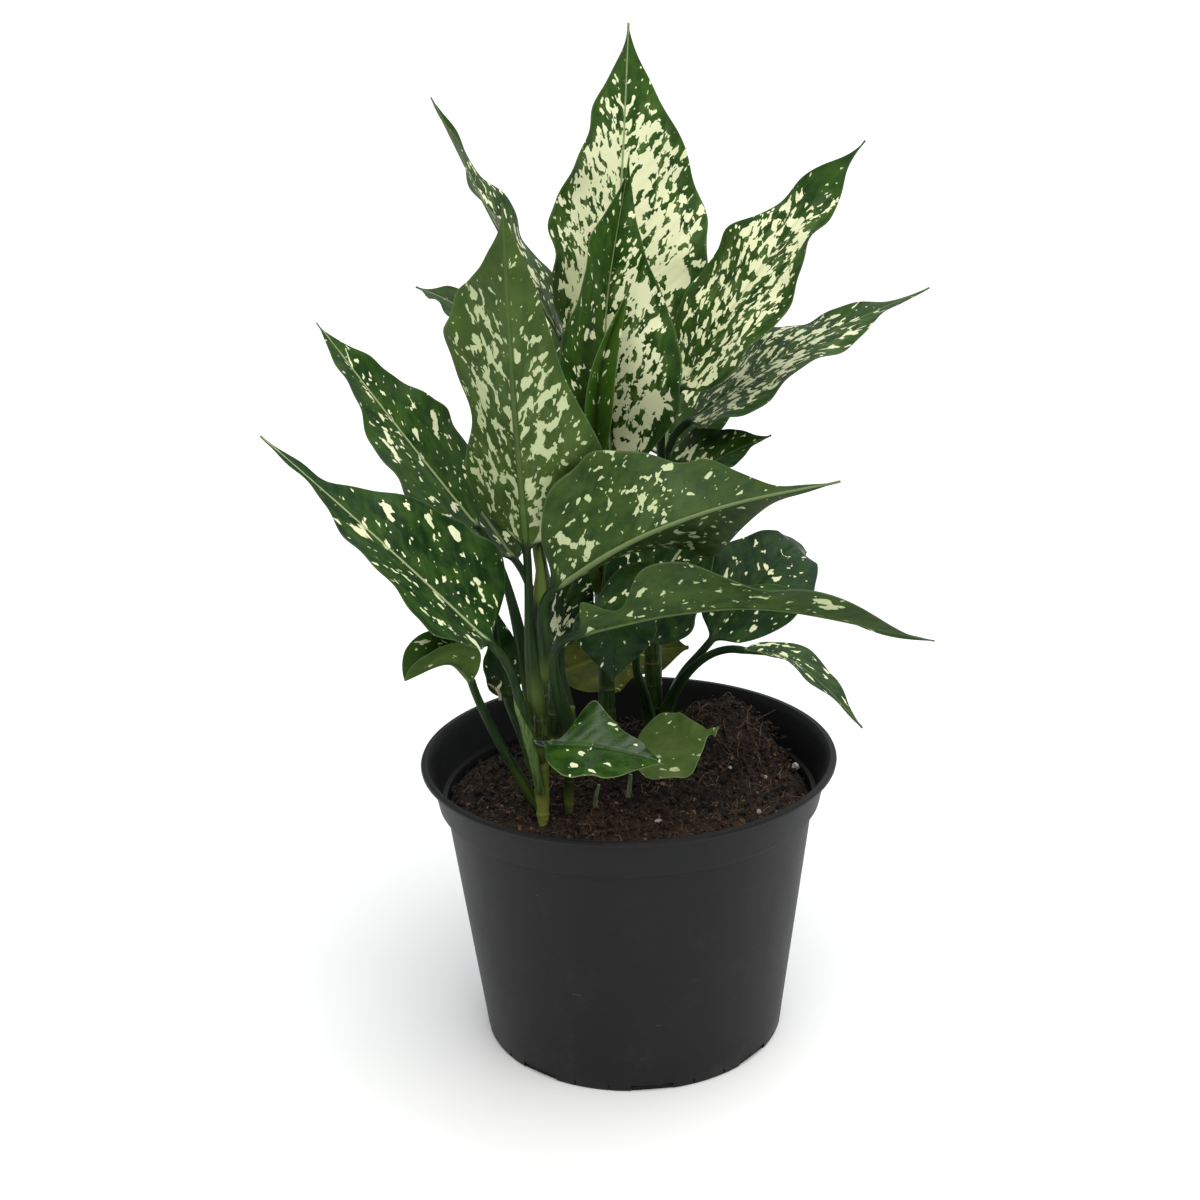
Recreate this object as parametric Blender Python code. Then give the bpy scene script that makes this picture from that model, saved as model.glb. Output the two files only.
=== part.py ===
"""Potted Chinese evergreen: a black nursery pot, its soil, five canes and their leaves.

The scene is in metres, +Z up. The origin is the centre of the pot's underside, on the surface that
the pot stands on. The front of the plant faces -Y. Lengths in the tables below are millimetres, and
each shape is scaled by MM when its mesh is finished.
"""

import math
from dataclasses import dataclass

import bmesh
import bpy
from mathutils import Matrix, Vector

MM = 0.001

# Pot
POT_HEIGHT = 150.0
POT_SIDES = 48
RIM_RADIUS = 105.0
LIP_HEIGHT = 3.6
LIP_WIDTH = 3.7
COLLAR_TOP_RADIUS = 100.4
COLLAR_BASE_RADIUS = 96.8
COLLAR_HEIGHT = 22.0
BODY_TOP_RADIUS = 93.4
BODY_BASE_RADIUS = 77.0
BASE_CHAMFER = 1.6
WALL = 1.3
FLOOR = 2.0
DRAIN_COUNT = 8
DRAIN_WIDTH = 21.0
DRAIN_HEIGHT = 3.6
DRAIN_DEPTH = 6.0
DRAIN_TURN = 6.0

# Soil
SOIL_LEVEL = 127.0
SOIL_SINK = 2.0
SOIL_GAP = 0.35
SOIL_RINGS = 8
# Each heap of peat: (centre, height, radius)
HEAPS = (((34, 46), 11, 46), ((55, 53), 17, 30))

# Canes
CANE_BURIED = 45.0
CANE_UPRIGHT = 11.0
CANE_SIDES = 10
SCAR_SPACING = 13.0
SCAR_SWELL = 0.5
BUD_RADIUS = 1.9
HOLE_SIDES = 16
HOLE_GAP = 0.3

# Leaves
PETIOLE_FOOT_RADIUS = 2.9
PETIOLE_RADIUS = 2.0
PETIOLE_LEAN = 0.25
PETIOLE_RISE = 0.4
PETIOLE_BEND = 0.25
PETIOLE_ROWS = 5
BLADE_ROWS = 16
BLADE_COLUMNS = 4
BLADE_THICKNESS = 0.8
RIB_THICKNESS = 1.3
TIP_HALF_WIDTH = 0.5
BASE_POWER = 0.8
TIP_POWER = 1.45
ROW_EASE = 0.06
CANE_GAP = 0.3


@dataclass
class Cane:
    """A cane stands straight in the soil and then leans to its top."""

    foot: tuple
    top: tuple
    radius: float
    top_radius: float
    bud: float = 0.0


@dataclass
class Leaf:
    """One leaf: a petiole that leaves its cane at the scar nearest to joint, and a blade.

    The midrib runs from base to tip through points. face is the way the upper side looks. fold lifts
    each half of the blade from the midrib, in degrees, and flatten takes a share of it away by the
    tip. twist turns the blade by its tip, and skew pushes one half towards the tip. taper narrows
    the tip. wave is the margin's swing, waves how often it swings and start its first phase.
    turn moves the petiole's foot round the cane, inset moves it in, and bow bends the petiole.
    Each of edges shapes one half's margin: (side, share of the blade, breadth, lift, spread).
    """

    cane: str
    joint: float
    points: tuple
    width: float
    face: tuple
    fold: float = 12.0
    flatten: float = 0.0
    twist: float = 0.0
    skew: float = 0.0
    taper: float = TIP_POWER
    wave: float = 3.0
    waves: float = 3.0
    start: float = 0.0
    turn: float = 0.0
    inset: float = 0.0
    bow: tuple = (0.0, 0.0, 0.0)
    edges: tuple = ()


CANES = {
    "cane_front": Cane((-43, -34), (-40, -40, 248), 3.6, 3.8, bud=26),
    "cane_side": Cane((-30, -25), (-27, -30, 188), 2.8, 1.8),
    "cane_middle": Cane((-10, 24), (-12, 12, 268), 4.6, 3.6),
    "cane_rear": Cane((14, 44), (14, 28, 262), 5.0, 3.8),
    "cane_back": Cane((-38, 32), (-32, 38, 262), 4.6, 3.6),
}

LEAVES = {
    "leaf_top": Leaf(
        cane="cane_rear", joint=246, turn=-10,
        points=((-8, 25, 341), (2, 40, 421), (8, 48, 503)),
        width=92, face=(0.5, -0.86, 0.08), fold=18, start=40,
    ),
    "leaf_upper_left": Leaf(
        cane="cane_back", joint=250,
        points=((-26, 16, 357), (-57, 26, 413), (-86, 38, 472)),
        width=62, face=(0.91, -0.06, 0.4), fold=10, start=200,
    ),
    "leaf_front_tall": Leaf(
        cane="cane_front", joint=195,
        points=((-45, -47, 272), (-48, -56, 354), (-49, -62, 436)),
        width=72, face=(0.28, 0.95, 0.09), fold=24, skew=0.7, start=120,
        edges=(
            (1, 0.1, 0.1, 0, 8),
            (1, 0.28, 0.08, 0, -5),
            (1, 0.46, 0.05, 0, 4),
            (1, 0.62, 0.09, 0, 7),
            (-1, 0.42, 0.08, 0, 4),
            (-1, 0.62, 0.1, 0, -4),
        ),
    ),
    "leaf_centre": Leaf(
        cane="cane_middle", joint=235,
        points=((-5, 2, 295), (-6, -8, 373), (7, 5, 447)),
        width=74, face=(0.25, -0.97, 0), fold=44, start=80,
        edges=((1, 0.35, 0.15, 0, 5), (1, 0.8, 0.1, 0, -4)),
    ),
    "leaf_spear": Leaf(
        cane="cane_middle", joint=246, turn=-35,
        points=((-14, -20, 304), (-9, -24, 352), (6, -20, 392)),
        width=26, face=(0.13, -1, 0), fold=60, wave=0,
    ),
    "leaf_upper_right": Leaf(
        cane="cane_rear", joint=238, turn=30, bow=(-2, 8, 0),
        points=((27, 5, 334), (69, 3, 396), (116, 10, 450)),
        width=76, face=(-0.69, -0.43, 0.58), fold=4, start=150,
        edges=((-1, 0.8, 0.06, 0, 4), (-1, 0.62, 0.06, 0, -3), (1, 0.66, 0.06, 0, -3)),
    ),
    "leaf_right": Leaf(
        cane="cane_rear", joint=205, turn=50,
        points=((32, 20, 315), (82, 12, 351), (149, 20, 379)),
        width=74, face=(-0.45, -0.15, 0.88), fold=2, start=260,
    ),
    "leaf_far_left": Leaf(
        cane="cane_back", joint=230,
        points=((-59, 50, 350), (-80, 58, 368), (-101, 66, 377)),
        width=32, face=(0.3, -0.3, 0.9), fold=14, wave=1.4, start=30,
    ),
    "leaf_left_upper": Leaf(
        cane="cane_front", joint=190,
        points=((-70, 6, 267), (-107, 6, 319), (-144, 12, 371)),
        width=75, face=(0.76, -0.32, 0.57), fold=8, wave=2.2, start=300,
        edges=((-1, 0.3, 0.14, 0, 6), (-1, 0.62, 0.1, 0, -3)),
    ),
    "leaf_left": Leaf(
        cane="cane_front", joint=172,
        points=((-62, -55, 229), (-107, -60, 279), (-164, -50, 332)),
        width=80, face=(0.66, -0.34, 0.67), fold=19, taper=1.8, wave=2, start=220,
        edges=(
            (1, 0.12, 0.12, 0, 9),
            (1, 0.78, 0.08, 0, -5),
            (-1, 0.42, 0.1, 0, 5),
            (-1, 0.12, 0.08, 0, -4),
        ),
    ),
    "leaf_low_left": Leaf(
        cane="cane_front", joint=142, turn=-40, bow=(-8, 0, 0),
        points=((-73, -56, 212), (-83, -68, 226), (-102, -78, 222)),
        width=33, face=(0.05, -0.1, 1), fold=58, taper=0.55, wave=0.4, start=90,
    ),
    "leaf_arching": Leaf(
        cane="cane_front", joint=205,
        points=((-33, -60, 258), (-6, -71, 279), (19, -75, 292), (53, -66, 300), (100, -50, 304)),
        width=88, face=(-0.18, 0.93, 0.32), fold=36, twist=-28, taper=1.7, start=170,
        edges=(
            (-1, 0.28, 0.26, 14, 0),
            (-1, 0.7, 0.09, 0, 12),
            (1, 0.7, 0.05, 0, 3),
            (1, 0.84, 0.06, 0, -3),
        ),
    ),
    "leaf_right_long": Leaf(
        cane="cane_side", joint=165,
        points=((-23, -75, 241), (25, -84, 254), (70, -86, 255), (138, -95, 242)),
        width=68, face=(0.03, 0.42, 0.91), fold=50, flatten=0.9, wave=6, waves=2, start=-126,
        edges=(
            (1, 0.05, 0.05, 0, 6),
            (1, 0.17, 0.07, 0, -18),
            (1, 0.33, 0.08, 0, -5),
            (1, 0.82, 0.09, 0, 5),
            (-1, 0.17, 0.12, 8, 3),
        ),
    ),
    "leaf_right_round": Leaf(
        cane="cane_rear", joint=158, turn=10,
        points=((43, 25, 199), (69, 38, 227), (87, 56, 238), (97, 80, 228)),
        width=54, face=(-0.01, -0.79, 0.61), fold=2, wave=2, start=60,
        edges=((-1, 0.6, 0.2, 0, -5),),
    ),
    "leaf_drooping": Leaf(
        cane="cane_rear", joint=148, turn=-15,
        points=((57, 2, 203), (79, -8, 202), (97, -25, 192), (113, -42, 178)),
        width=29, face=(0.39, -0.08, 0.92), fold=14, wave=1, start=320,
    ),
    "leaf_small_right": Leaf(
        cane="cane_rear", joint=220, turn=-18,
        points=((22, 3, 284), (45, 0, 301), (72, -2, 314)),
        width=54, face=(-0.36, -0.26, 0.9), fold=14, wave=1.5, start=240,
    ),
    "leaf_inner_right": Leaf(
        cane="cane_rear", joint=145,
        points=((7, -6, 212), (22, -9, 251), (54, 6, 286)),
        width=58, face=(-0.43, -0.8, 0.41), wave=1.5, start=10,
    ),
    "leaf_inner_dark": Leaf(
        cane="cane_middle", joint=200, bow=(-4, 0, 4),
        points=((-5, -18, 238), (-6, -25, 220), (-7, -27, 199)),
        width=42, face=(0.17, -0.95, 0.27), fold=10, wave=1.4, start=130,
    ),
    "leaf_old": Leaf(
        cane="cane_back", joint=150,
        points=((-38, 52, 173), (-3, 60, 181), (33, 52, 186)),
        width=46, face=(-0.15, -0.76, 0.63), wave=1.8, start=190,
        edges=((1, 0.84, 0.1, 0, 7), (-1, 0.84, 0.1, 0, 5)),
    ),
    "leaf_low_front": Leaf(
        cane="cane_front", joint=168, inset=0.7,
        points=((-40, -60, 181), (-13, -68, 182), (17, -78, 178)),
        width=42, face=(-0.12, -0.48, 0.87), fold=10, wave=0.8, start=280,
        edges=(
            (-1, 0.15, 0.11, 0, -12),
            (-1, 0.37, 0.07, 1, 3),
            (-1, 0.62, 0.15, 0, -4),
            (1, 0.74, 0.17, 0, 5),
        ),
    ),
    "leaf_low_right": Leaf(
        cane="cane_middle", joint=148, inset=1,
        points=((2, -25, 161), (25, -35, 168), (44, -40, 179)),
        width=36, face=(-0.49, -0.55, 0.67), fold=8, wave=0.8, start=50,
        edges=(
            (1, 0.62, 0.12, 0, 6),
            (1, 0.84, 0.06, 0, -3),
            (1, 0.94, 0.03, 0, 3),
            (-1, 0.6, 0.1, 0, 2),
            (-1, 0.86, 0.05, 0, -2),
        ),
    ),
    "leaf_inner_left": Leaf(
        cane="cane_front", joint=160,
        points=((-59, -18, 188), (-62, -17, 210), (-63, -17, 236)),
        width=26, face=(0.65, -0.76, 0), fold=14, wave=0.8,
    ),
    "leaf_inner_spotted": Leaf(
        cane="cane_side", joint=170,
        points=((-32, -11, 210), (-29, -11, 236), (-16, -5, 262)),
        width=40, face=(0.7, -0.69, -0.15), fold=14, wave=1.4, start=110,
    ),
    "leaf_back_left": Leaf(
        cane="cane_back", joint=235,
        points=((-38, 62, 300), (-44, 105, 345), (-48, 150, 365)),
        width=76, face=(0, -0.4, 0.9), fold=14, start=20,
    ),
    "leaf_back_right": Leaf(
        cane="cane_rear", joint=222,
        points=((22, 62, 285), (28, 108, 325), (30, 155, 345)),
        width=80, face=(0, -0.4, 0.9), fold=14, start=140,
    ),
    "leaf_back_low_left": Leaf(
        cane="cane_back", joint=185,
        points=((-56, 62, 232), (-85, 95, 262), (-112, 128, 268)),
        width=72, face=(0.3, -0.3, 0.9), fold=14, start=250,
    ),
    "leaf_back_low_right": Leaf(
        cane="cane_rear", joint=204, inset=0.6,
        points=((18, 74, 232), (28, 118, 256), (34, 160, 258)),
        width=72, face=(0, -0.3, 0.95), fold=14, start=340,
    ),
}


def clear_scene():
    for item in list(bpy.data.objects):
        bpy.data.objects.remove(item, do_unlink=True)


def material(name, colour, roughness, metallic=0.0):
    made = bpy.data.materials.new(name)
    made.use_nodes = True
    shader = made.node_tree.nodes["Principled BSDF"]
    shader.inputs["Base Color"].default_value = (*colour, 1.0)
    shader.inputs["Roughness"].default_value = roughness
    shader.inputs["Metallic"].default_value = metallic
    return made


def finish(name, bm, finish_material, smooth=True):
    """Turns a bmesh in millimetres into a named object in metres."""
    bmesh.ops.recalc_face_normals(bm, faces=bm.faces[:])
    if bm.calc_volume(signed=True) < 0:
        bmesh.ops.reverse_faces(bm, faces=bm.faces[:])
    bmesh.ops.scale(bm, vec=(MM, MM, MM), verts=bm.verts[:])
    mesh = bpy.data.meshes.new(name)
    bm.to_mesh(mesh)
    bm.free()
    mesh.materials.append(finish_material)
    if smooth:
        mesh.shade_smooth()
        mesh.set_sharp_from_angle(angle=math.radians(35))
    item = bpy.data.objects.new(name, mesh)
    bpy.context.scene.collection.objects.link(item)
    return item


def turned(profile, sides):
    """A bmesh turned about Z from a closed or axis-to-axis outline of (radius, height)."""
    bm = bmesh.new()
    ring = [bm.verts.new((radius, 0.0, height)) for radius, height in profile]
    edges = [bm.edges.new(pair) for pair in zip(ring, ring[1:])]
    if profile[0][0] > 0:
        edges.append(bm.edges.new((ring[-1], ring[0])))
    bmesh.ops.spin(
        bm,
        geom=ring + edges,
        axis=(0, 0, 1),
        cent=(0, 0, 0),
        angle=math.tau,
        steps=sides,
        use_merge=True,
    )
    bmesh.ops.remove_doubles(bm, verts=bm.verts[:], dist=0.01)
    return bm


def inner_radius(height):
    """The radius of the pot's inside at a height above the ground."""
    share = (height - FLOOR) / (POT_HEIGHT - COLLAR_HEIGHT + WALL - FLOOR)
    return BODY_BASE_RADIUS - WALL + (BODY_TOP_RADIUS - BODY_BASE_RADIUS) * share


def cut(target, cutter):
    """Cuts cutter from target and removes the cutter."""
    cut_out = target.modifiers.new("cut", "BOOLEAN")
    cut_out.operation = "DIFFERENCE"
    cut_out.object = cutter
    bpy.context.view_layer.update()
    evaluated = target.evaluated_get(bpy.context.evaluated_depsgraph_get())
    shaped = bpy.data.meshes.new_from_object(evaluated)
    target.modifiers.clear()
    target.data = shaped
    bpy.data.objects.remove(cutter, do_unlink=True)


def make_pot(plastic):
    collar_base = POT_HEIGHT - COLLAR_HEIGHT
    lip_base = POT_HEIGHT - LIP_HEIGHT
    outline = [
        (0.0, 0.0),
        (BODY_BASE_RADIUS - BASE_CHAMFER, 0.0),
        (BODY_BASE_RADIUS, BASE_CHAMFER),
        (BODY_TOP_RADIUS, collar_base),
        (COLLAR_BASE_RADIUS, collar_base),
        (COLLAR_TOP_RADIUS, lip_base),
        (RIM_RADIUS - 0.8, lip_base + 1.0),
        (RIM_RADIUS, POT_HEIGHT - 1.0),
        (RIM_RADIUS - 1.0, POT_HEIGHT),
        (RIM_RADIUS - LIP_WIDTH, POT_HEIGHT - 0.3),
        (COLLAR_TOP_RADIUS - WALL, lip_base - 0.4),
        (COLLAR_BASE_RADIUS - WALL, collar_base + WALL + 0.4),
        (inner_radius(collar_base + WALL), collar_base + WALL),
        (inner_radius(FLOOR), FLOOR),
        (0.0, FLOOR),
    ]
    pot = finish("pot", turned(outline, POT_SIDES), plastic)
    for index in range(DRAIN_COUNT):
        bm = bmesh.new()
        bmesh.ops.create_cube(bm, size=1.0)
        bmesh.ops.scale(bm, vec=(DRAIN_DEPTH, DRAIN_WIDTH, DRAIN_HEIGHT * 2), verts=bm.verts[:])
        reach = BODY_BASE_RADIUS - DRAIN_DEPTH / 2 + 4.0
        bmesh.ops.translate(bm, vec=(reach, 0, 0), verts=bm.verts[:])
        turn = Matrix.Rotation(math.tau * index / DRAIN_COUNT - math.radians(90 - DRAIN_TURN), 3, "Z")
        bmesh.ops.rotate(bm, cent=(0, 0, 0), matrix=turn, verts=bm.verts[:])
        cut(pot, finish(f"drain_{index}", bm, plastic, smooth=False))
    return pot


def soil_height(x, y):
    """The soil surface: level, with peat heaped by the rear cane and small hollows."""
    heap = 0.0
    for centre, height, radius in HEAPS:
        heap += height * math.exp(-((math.dist((x, y), centre) / radius) ** 2))
    hollows = 0.9 * math.sin(x * 0.13 + 1.0) * math.cos(y * 0.11) + 0.6 * math.sin(x * 0.05 - y * 0.21)
    return SOIL_LEVEL + heap + hollows


def make_soil(peat):
    floor = FLOOR + SOIL_GAP
    over_drains = DRAIN_HEIGHT + SOIL_GAP
    edge = inner_radius(SOIL_LEVEL - SOIL_SINK) - SOIL_GAP
    outline = [
        (0.0, floor),
        (BODY_BASE_RADIUS - DRAIN_DEPTH - SOIL_GAP, floor),
        (BODY_BASE_RADIUS - DRAIN_DEPTH, over_drains),
        (inner_radius(over_drains) - SOIL_GAP, over_drains),
        (edge, SOIL_LEVEL - SOIL_SINK),
    ]
    rings = [edge * (1 - step / SOIL_RINGS) for step in range(1, SOIL_RINGS)]
    outline += [(radius, SOIL_LEVEL) for radius in rings]
    outline.append((0.0, SOIL_LEVEL))
    bm = turned(outline, POT_SIDES)
    for vert in bm.verts:
        if vert.co.z > SOIL_LEVEL - 1.0:
            fade = min(1.0, (edge - vert.co.xy.length) / (edge / SOIL_RINGS))
            vert.co.z += (soil_height(vert.co.x, vert.co.y) - SOIL_LEVEL) * fade
    soil = finish("soil", bm, peat)
    for name, cane in CANES.items():
        hole = bmesh.new()
        radius = (cane.radius + HOLE_GAP) / math.cos(math.pi / HOLE_SIDES)
        bmesh.ops.create_cone(
            hole,
            cap_ends=True,
            segments=HOLE_SIDES,
            radius1=radius,
            radius2=radius,
            depth=CANE_BURIED * 2,
        )
        bmesh.ops.translate(hole, vec=(*cane.foot, SOIL_LEVEL - HOLE_GAP), verts=hole.verts[:])
        cut(soil, finish(f"hole_{name}", hole, peat, smooth=False))
    return soil


def cane_point(cane, height):
    """The cane's centre at a height: straight up out of the soil, then leaning to its top."""
    foot = Vector((*cane.foot, 0.0))
    top = Vector((cane.top[0], cane.top[1], 0.0))
    start = SOIL_LEVEL + CANE_UPRIGHT
    share = max(0.0, (height - start) / (cane.top[2] - start))
    centre = foot.lerp(top, share**1.3)
    return Vector((centre.x, centre.y, height))


def cane_radius(cane, height):
    share = min(1.0, max(0.0, (height - SOIL_LEVEL) / (cane.top[2] - SOIL_LEVEL)))
    return cane.radius + (cane.top_radius - cane.radius) * share


def scar_heights(cane):
    """The heights of the old leaf scars, from just above the soil to just below the top."""
    lowest = soil_height(*cane.foot) + SCAR_SPACING / 2
    count = int((cane.top[2] - SCAR_SPACING / 2 - lowest) / SCAR_SPACING)
    return [lowest + SCAR_SPACING * step for step in range(count + 1)]


def make_cane(name, cane, bark):
    """A turned rod with a low ring at each old leaf scar, then leant over ring by ring."""
    bottom = SOIL_LEVEL - CANE_BURIED
    outline = [(0.0, bottom), (cane.radius * 0.7, bottom), (cane.radius, bottom + 1.5)]
    for scar in scar_heights(cane):
        radius = cane_radius(cane, scar)
        outline += [(radius, scar - 1.8), (radius + SCAR_SWELL, scar), (radius, scar + 1.8)]
    outline += [(cane.top_radius, cane.top[2] - 3.0), (cane.top_radius * 0.6, cane.top[2] - 0.5)]
    if cane.bud:
        outline.append((BUD_RADIUS, cane.top[2] + cane.bud / 2))
    outline.append((0.0, cane.top[2] + cane.bud))
    bm = turned(outline, CANE_SIDES)
    for vert in bm.verts:
        centre = cane_point(cane, vert.co.z)
        vert.co.x += centre.x
        vert.co.y += centre.y
    return finish(name, bm, bark)


def spline_point(points, share):
    """A point on a smooth curve through all of points, share from 0 to 1."""
    first = points[0] * 2 - points[1]
    last = points[-1] * 2 - points[-2]
    padded = [first, *points, last]
    place = min(max(share, 0.0), 1.0) * (len(points) - 1)
    index = min(int(place), len(points) - 2)
    t = place - index
    a, b, c, d = padded[index : index + 4]
    return 0.5 * (2 * b + (c - a) * t + (2 * a - 5 * b + 4 * c - d) * t**2 + (3 * b - a - 3 * c + d) * t**3)


def bezier_point(handles, t):
    a, b, c, d = handles
    return a * (1 - t) ** 3 + b * (3 * t * (1 - t) ** 2) + c * (3 * t**2 * (1 - t)) + d * t**3


def foot_reach(cane, scar, away):
    """How far from the cane's centre a petiole's foot stands, to clear the cane's flat side."""
    corner = math.tau / CANE_SIDES
    turned_from_flat = math.atan2(away.y, away.x) % corner - corner / 2
    flat = (cane_radius(cane, scar) + SCAR_SWELL) * math.cos(corner / 2)
    return (flat + PETIOLE_FOOT_RADIUS + CANE_GAP) / math.cos(turned_from_flat)


def petiole_handles(leaf, blade):
    """The four handles of the petiole: up along its cane, then out to the blade."""
    cane = CANES[leaf.cane]
    scar = min(scar_heights(cane), key=lambda height: abs(height - leaf.joint))
    centre = cane_point(cane, scar)
    away = blade[0] - centre
    away.z = 0.0
    away.normalize()
    away.rotate(Matrix.Rotation(math.radians(leaf.turn), 3, "Z"))
    foot = centre + away * (foot_reach(cane, scar, away) - leaf.inset)
    span = (blade[0] - foot).length
    along = (blade[1] - blade[0]).normalized()
    up = (Vector((0, 0, 1)) + away * PETIOLE_LEAN).normalized()
    bow = Vector(leaf.bow)
    leaving = foot + up * span * PETIOLE_RISE + bow
    arriving = blade[0] - along * span * PETIOLE_BEND + bow
    return foot, leaving, arriving, blade[0]


def blade_share(row):
    """How far along the blade a row lies, with rows closer together at both ends."""
    even = row / BLADE_ROWS
    return even - ROW_EASE * math.sin(math.tau * even)


def half_width(leaf, share):
    """The blade's half width: a round base, widest a third of the way up, and a long thin point."""
    peak = BASE_POWER / (BASE_POWER + leaf.taper)
    most = peak**BASE_POWER * (1 - peak) ** leaf.taper
    shape = share**BASE_POWER * (1 - share) ** leaf.taper / most
    return max(leaf.width / 2 * shape, TIP_HALF_WIDTH)


def leaf_frames(leaf):
    """For each row of the leaf: centre, directions along and up, and share of the blade."""
    blade = [Vector(point) for point in leaf.points]
    handles = petiole_handles(leaf, blade)
    centres = [bezier_point(handles, row / PETIOLE_ROWS) for row in range(PETIOLE_ROWS)]
    shares = [0.0] * PETIOLE_ROWS
    for row in range(BLADE_ROWS + 1):
        shares.append(blade_share(row))
        centres.append(spline_point(blade, shares[-1]))
    frames = [None] * len(centres)
    facing = Vector(leaf.face)
    for row in list(range(PETIOLE_ROWS, len(centres))) + list(range(PETIOLE_ROWS - 1, -1, -1)):
        if row == PETIOLE_ROWS - 1:
            facing = frames[PETIOLE_ROWS][2]
        before = centres[max(row - 1, 0)]
        after = centres[min(row + 1, len(centres) - 1)]
        along = (after - before).normalized()
        up = (facing - along * facing.dot(along)).normalized()
        if row < PETIOLE_ROWS:
            facing = up
        turn = Matrix.Rotation(math.radians(leaf.twist) * shares[row], 3, along)
        up = turn @ up
        frames[row] = (centres[row], along, up, shares[row])
    return frames


def edge_form(leaf, hand, share):
    """How far one half's margin is lifted and pushed out at a share of the blade."""
    lift = 0.0
    spread = 0.0
    for side, place, breadth, rise, out in leaf.edges:
        if side == hand:
            swell = math.exp(-(((share - place) / breadth) ** 2))
            lift += rise * swell
            spread += out * swell
    return lift, spread


def petiole_offset(across, upper, row):
    """A point on the round petiole: (sideways, up) from its centre."""
    radius = PETIOLE_FOOT_RADIUS + (PETIOLE_RADIUS - PETIOLE_FOOT_RADIUS) * min(1.0, row / PETIOLE_ROWS)
    angle = math.radians(90 - 72 * across)
    if not upper:
        angle = -angle
    return radius * math.cos(angle), radius * math.sin(angle)


def blade_offset(leaf, across, upper, share):
    """A point on the blade: (sideways, up) from the midrib."""
    hand = 1 if across >= 0 else -1
    reach = abs(across)
    lift, spread = edge_form(leaf, hand, share)
    out = (half_width(leaf, share) + spread) * reach
    slope = math.radians(leaf.fold * (1 - leaf.flatten * share))
    phase = math.radians(leaf.start + (90 if hand < 0 else 0))
    swing = math.sin(math.tau * leaf.waves * share + phase) * math.sin(math.pi * share) ** 0.7
    swing = (swing * leaf.wave + lift) * reach**2
    rib = RIB_THICKNESS * (1 - share) * max(0.0, 1 - 3 * reach)
    depth = BLADE_THICKNESS / 2 if upper else -BLADE_THICKNESS / 2 - rib
    sideways = out * math.cos(slope) - (swing + depth) * math.sin(slope)
    height = out * math.sin(slope) + (swing + depth) * math.cos(slope)
    return hand * sideways, height


def make_leaf(name, leaf, green):
    """A flat slab of triangles, each of whose points is then carried to its place on the leaf."""
    rows = PETIOLE_ROWS + BLADE_ROWS
    frames = leaf_frames(leaf)
    bm = bmesh.new()
    bmesh.ops.create_grid(bm, x_segments=rows, y_segments=BLADE_COLUMNS, size=1.0)
    bmesh.ops.triangulate(bm, faces=bm.faces[:], quad_method="FIXED")
    bmesh.ops.solidify(bm, geom=bm.faces[:], thickness=0.5)
    heights = [vert.co.z for vert in bm.verts]
    middle = (max(heights) + min(heights)) / 2
    for vert in bm.verts:
        row = round((vert.co.x + 1) / 2 * rows)
        across = vert.co.y
        upper = vert.co.z > middle
        centre, along, up, share = frames[row]
        if row <= PETIOLE_ROWS:
            x, z = petiole_offset(across, upper, row)
        else:
            x, z = blade_offset(leaf, across, upper, share)
            centre = centre + along * (leaf.skew * x * math.sin(math.pi * share))
        vert.co = centre + along.cross(up) * x + up * z
    return finish(name, bm, green)


def main():
    clear_scene()
    plastic = material("black plastic", (0.022, 0.023, 0.025), 0.5)
    peat = material("peat", (0.045, 0.022, 0.012), 0.95)
    bark = material("green cane", (0.14, 0.22, 0.05), 0.45)
    green = material("variegated leaf", (0.07, 0.16, 0.045), 0.4)
    yellowed = material("yellowed leaf", (0.16, 0.2, 0.03), 0.45)
    make_pot(plastic)
    make_soil(peat)
    for name, cane in CANES.items():
        make_cane(name, cane, bark)
    for name, leaf in LEAVES.items():
        make_leaf(name, leaf, yellowed if name == "leaf_old" else green)


main()
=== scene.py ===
# %% [markdown]
# # A potted Chinese evergreen
# This lesson dresses a measured model of a leafy house plant in a black nursery pot. The model
# already has the right sizes, so nothing here moves or resizes it. Each plain solid is replaced by
# a finer piece of the same form, and each piece gets a finish made from shader nodes alone.
#
# Everything is in metres, +Z up, with the origin under the middle of the pot. The front of the
# plant faces -Y. Lengths that describe the plant are written in millimetres and scaled by MM.

import math
import random
from dataclasses import dataclass

import bmesh
import bpy
from mathutils import Matrix, Vector, noise


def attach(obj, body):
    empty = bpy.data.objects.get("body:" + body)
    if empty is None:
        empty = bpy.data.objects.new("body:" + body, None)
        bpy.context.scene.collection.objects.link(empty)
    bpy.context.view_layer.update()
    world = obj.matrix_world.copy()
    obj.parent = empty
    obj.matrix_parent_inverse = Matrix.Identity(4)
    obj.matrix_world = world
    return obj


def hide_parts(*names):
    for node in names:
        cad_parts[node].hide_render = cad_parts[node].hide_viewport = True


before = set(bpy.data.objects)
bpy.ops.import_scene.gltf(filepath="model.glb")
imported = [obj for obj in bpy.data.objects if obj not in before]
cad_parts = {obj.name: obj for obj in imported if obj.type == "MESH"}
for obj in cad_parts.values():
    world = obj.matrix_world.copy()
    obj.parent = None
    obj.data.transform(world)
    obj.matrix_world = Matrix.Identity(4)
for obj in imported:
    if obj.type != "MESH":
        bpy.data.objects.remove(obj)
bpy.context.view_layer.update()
MM = 0.001

# %% [markdown]
# ## Camera
# The photo was taken from just above the plant's tip, looking down by nineteen degrees, with a
# slight roll. A camera is placed by three directions: right, up and backwards. Building them from
# the pitch, the turn and the roll keeps each number readable, which a finished matrix wouldn't.

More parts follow.
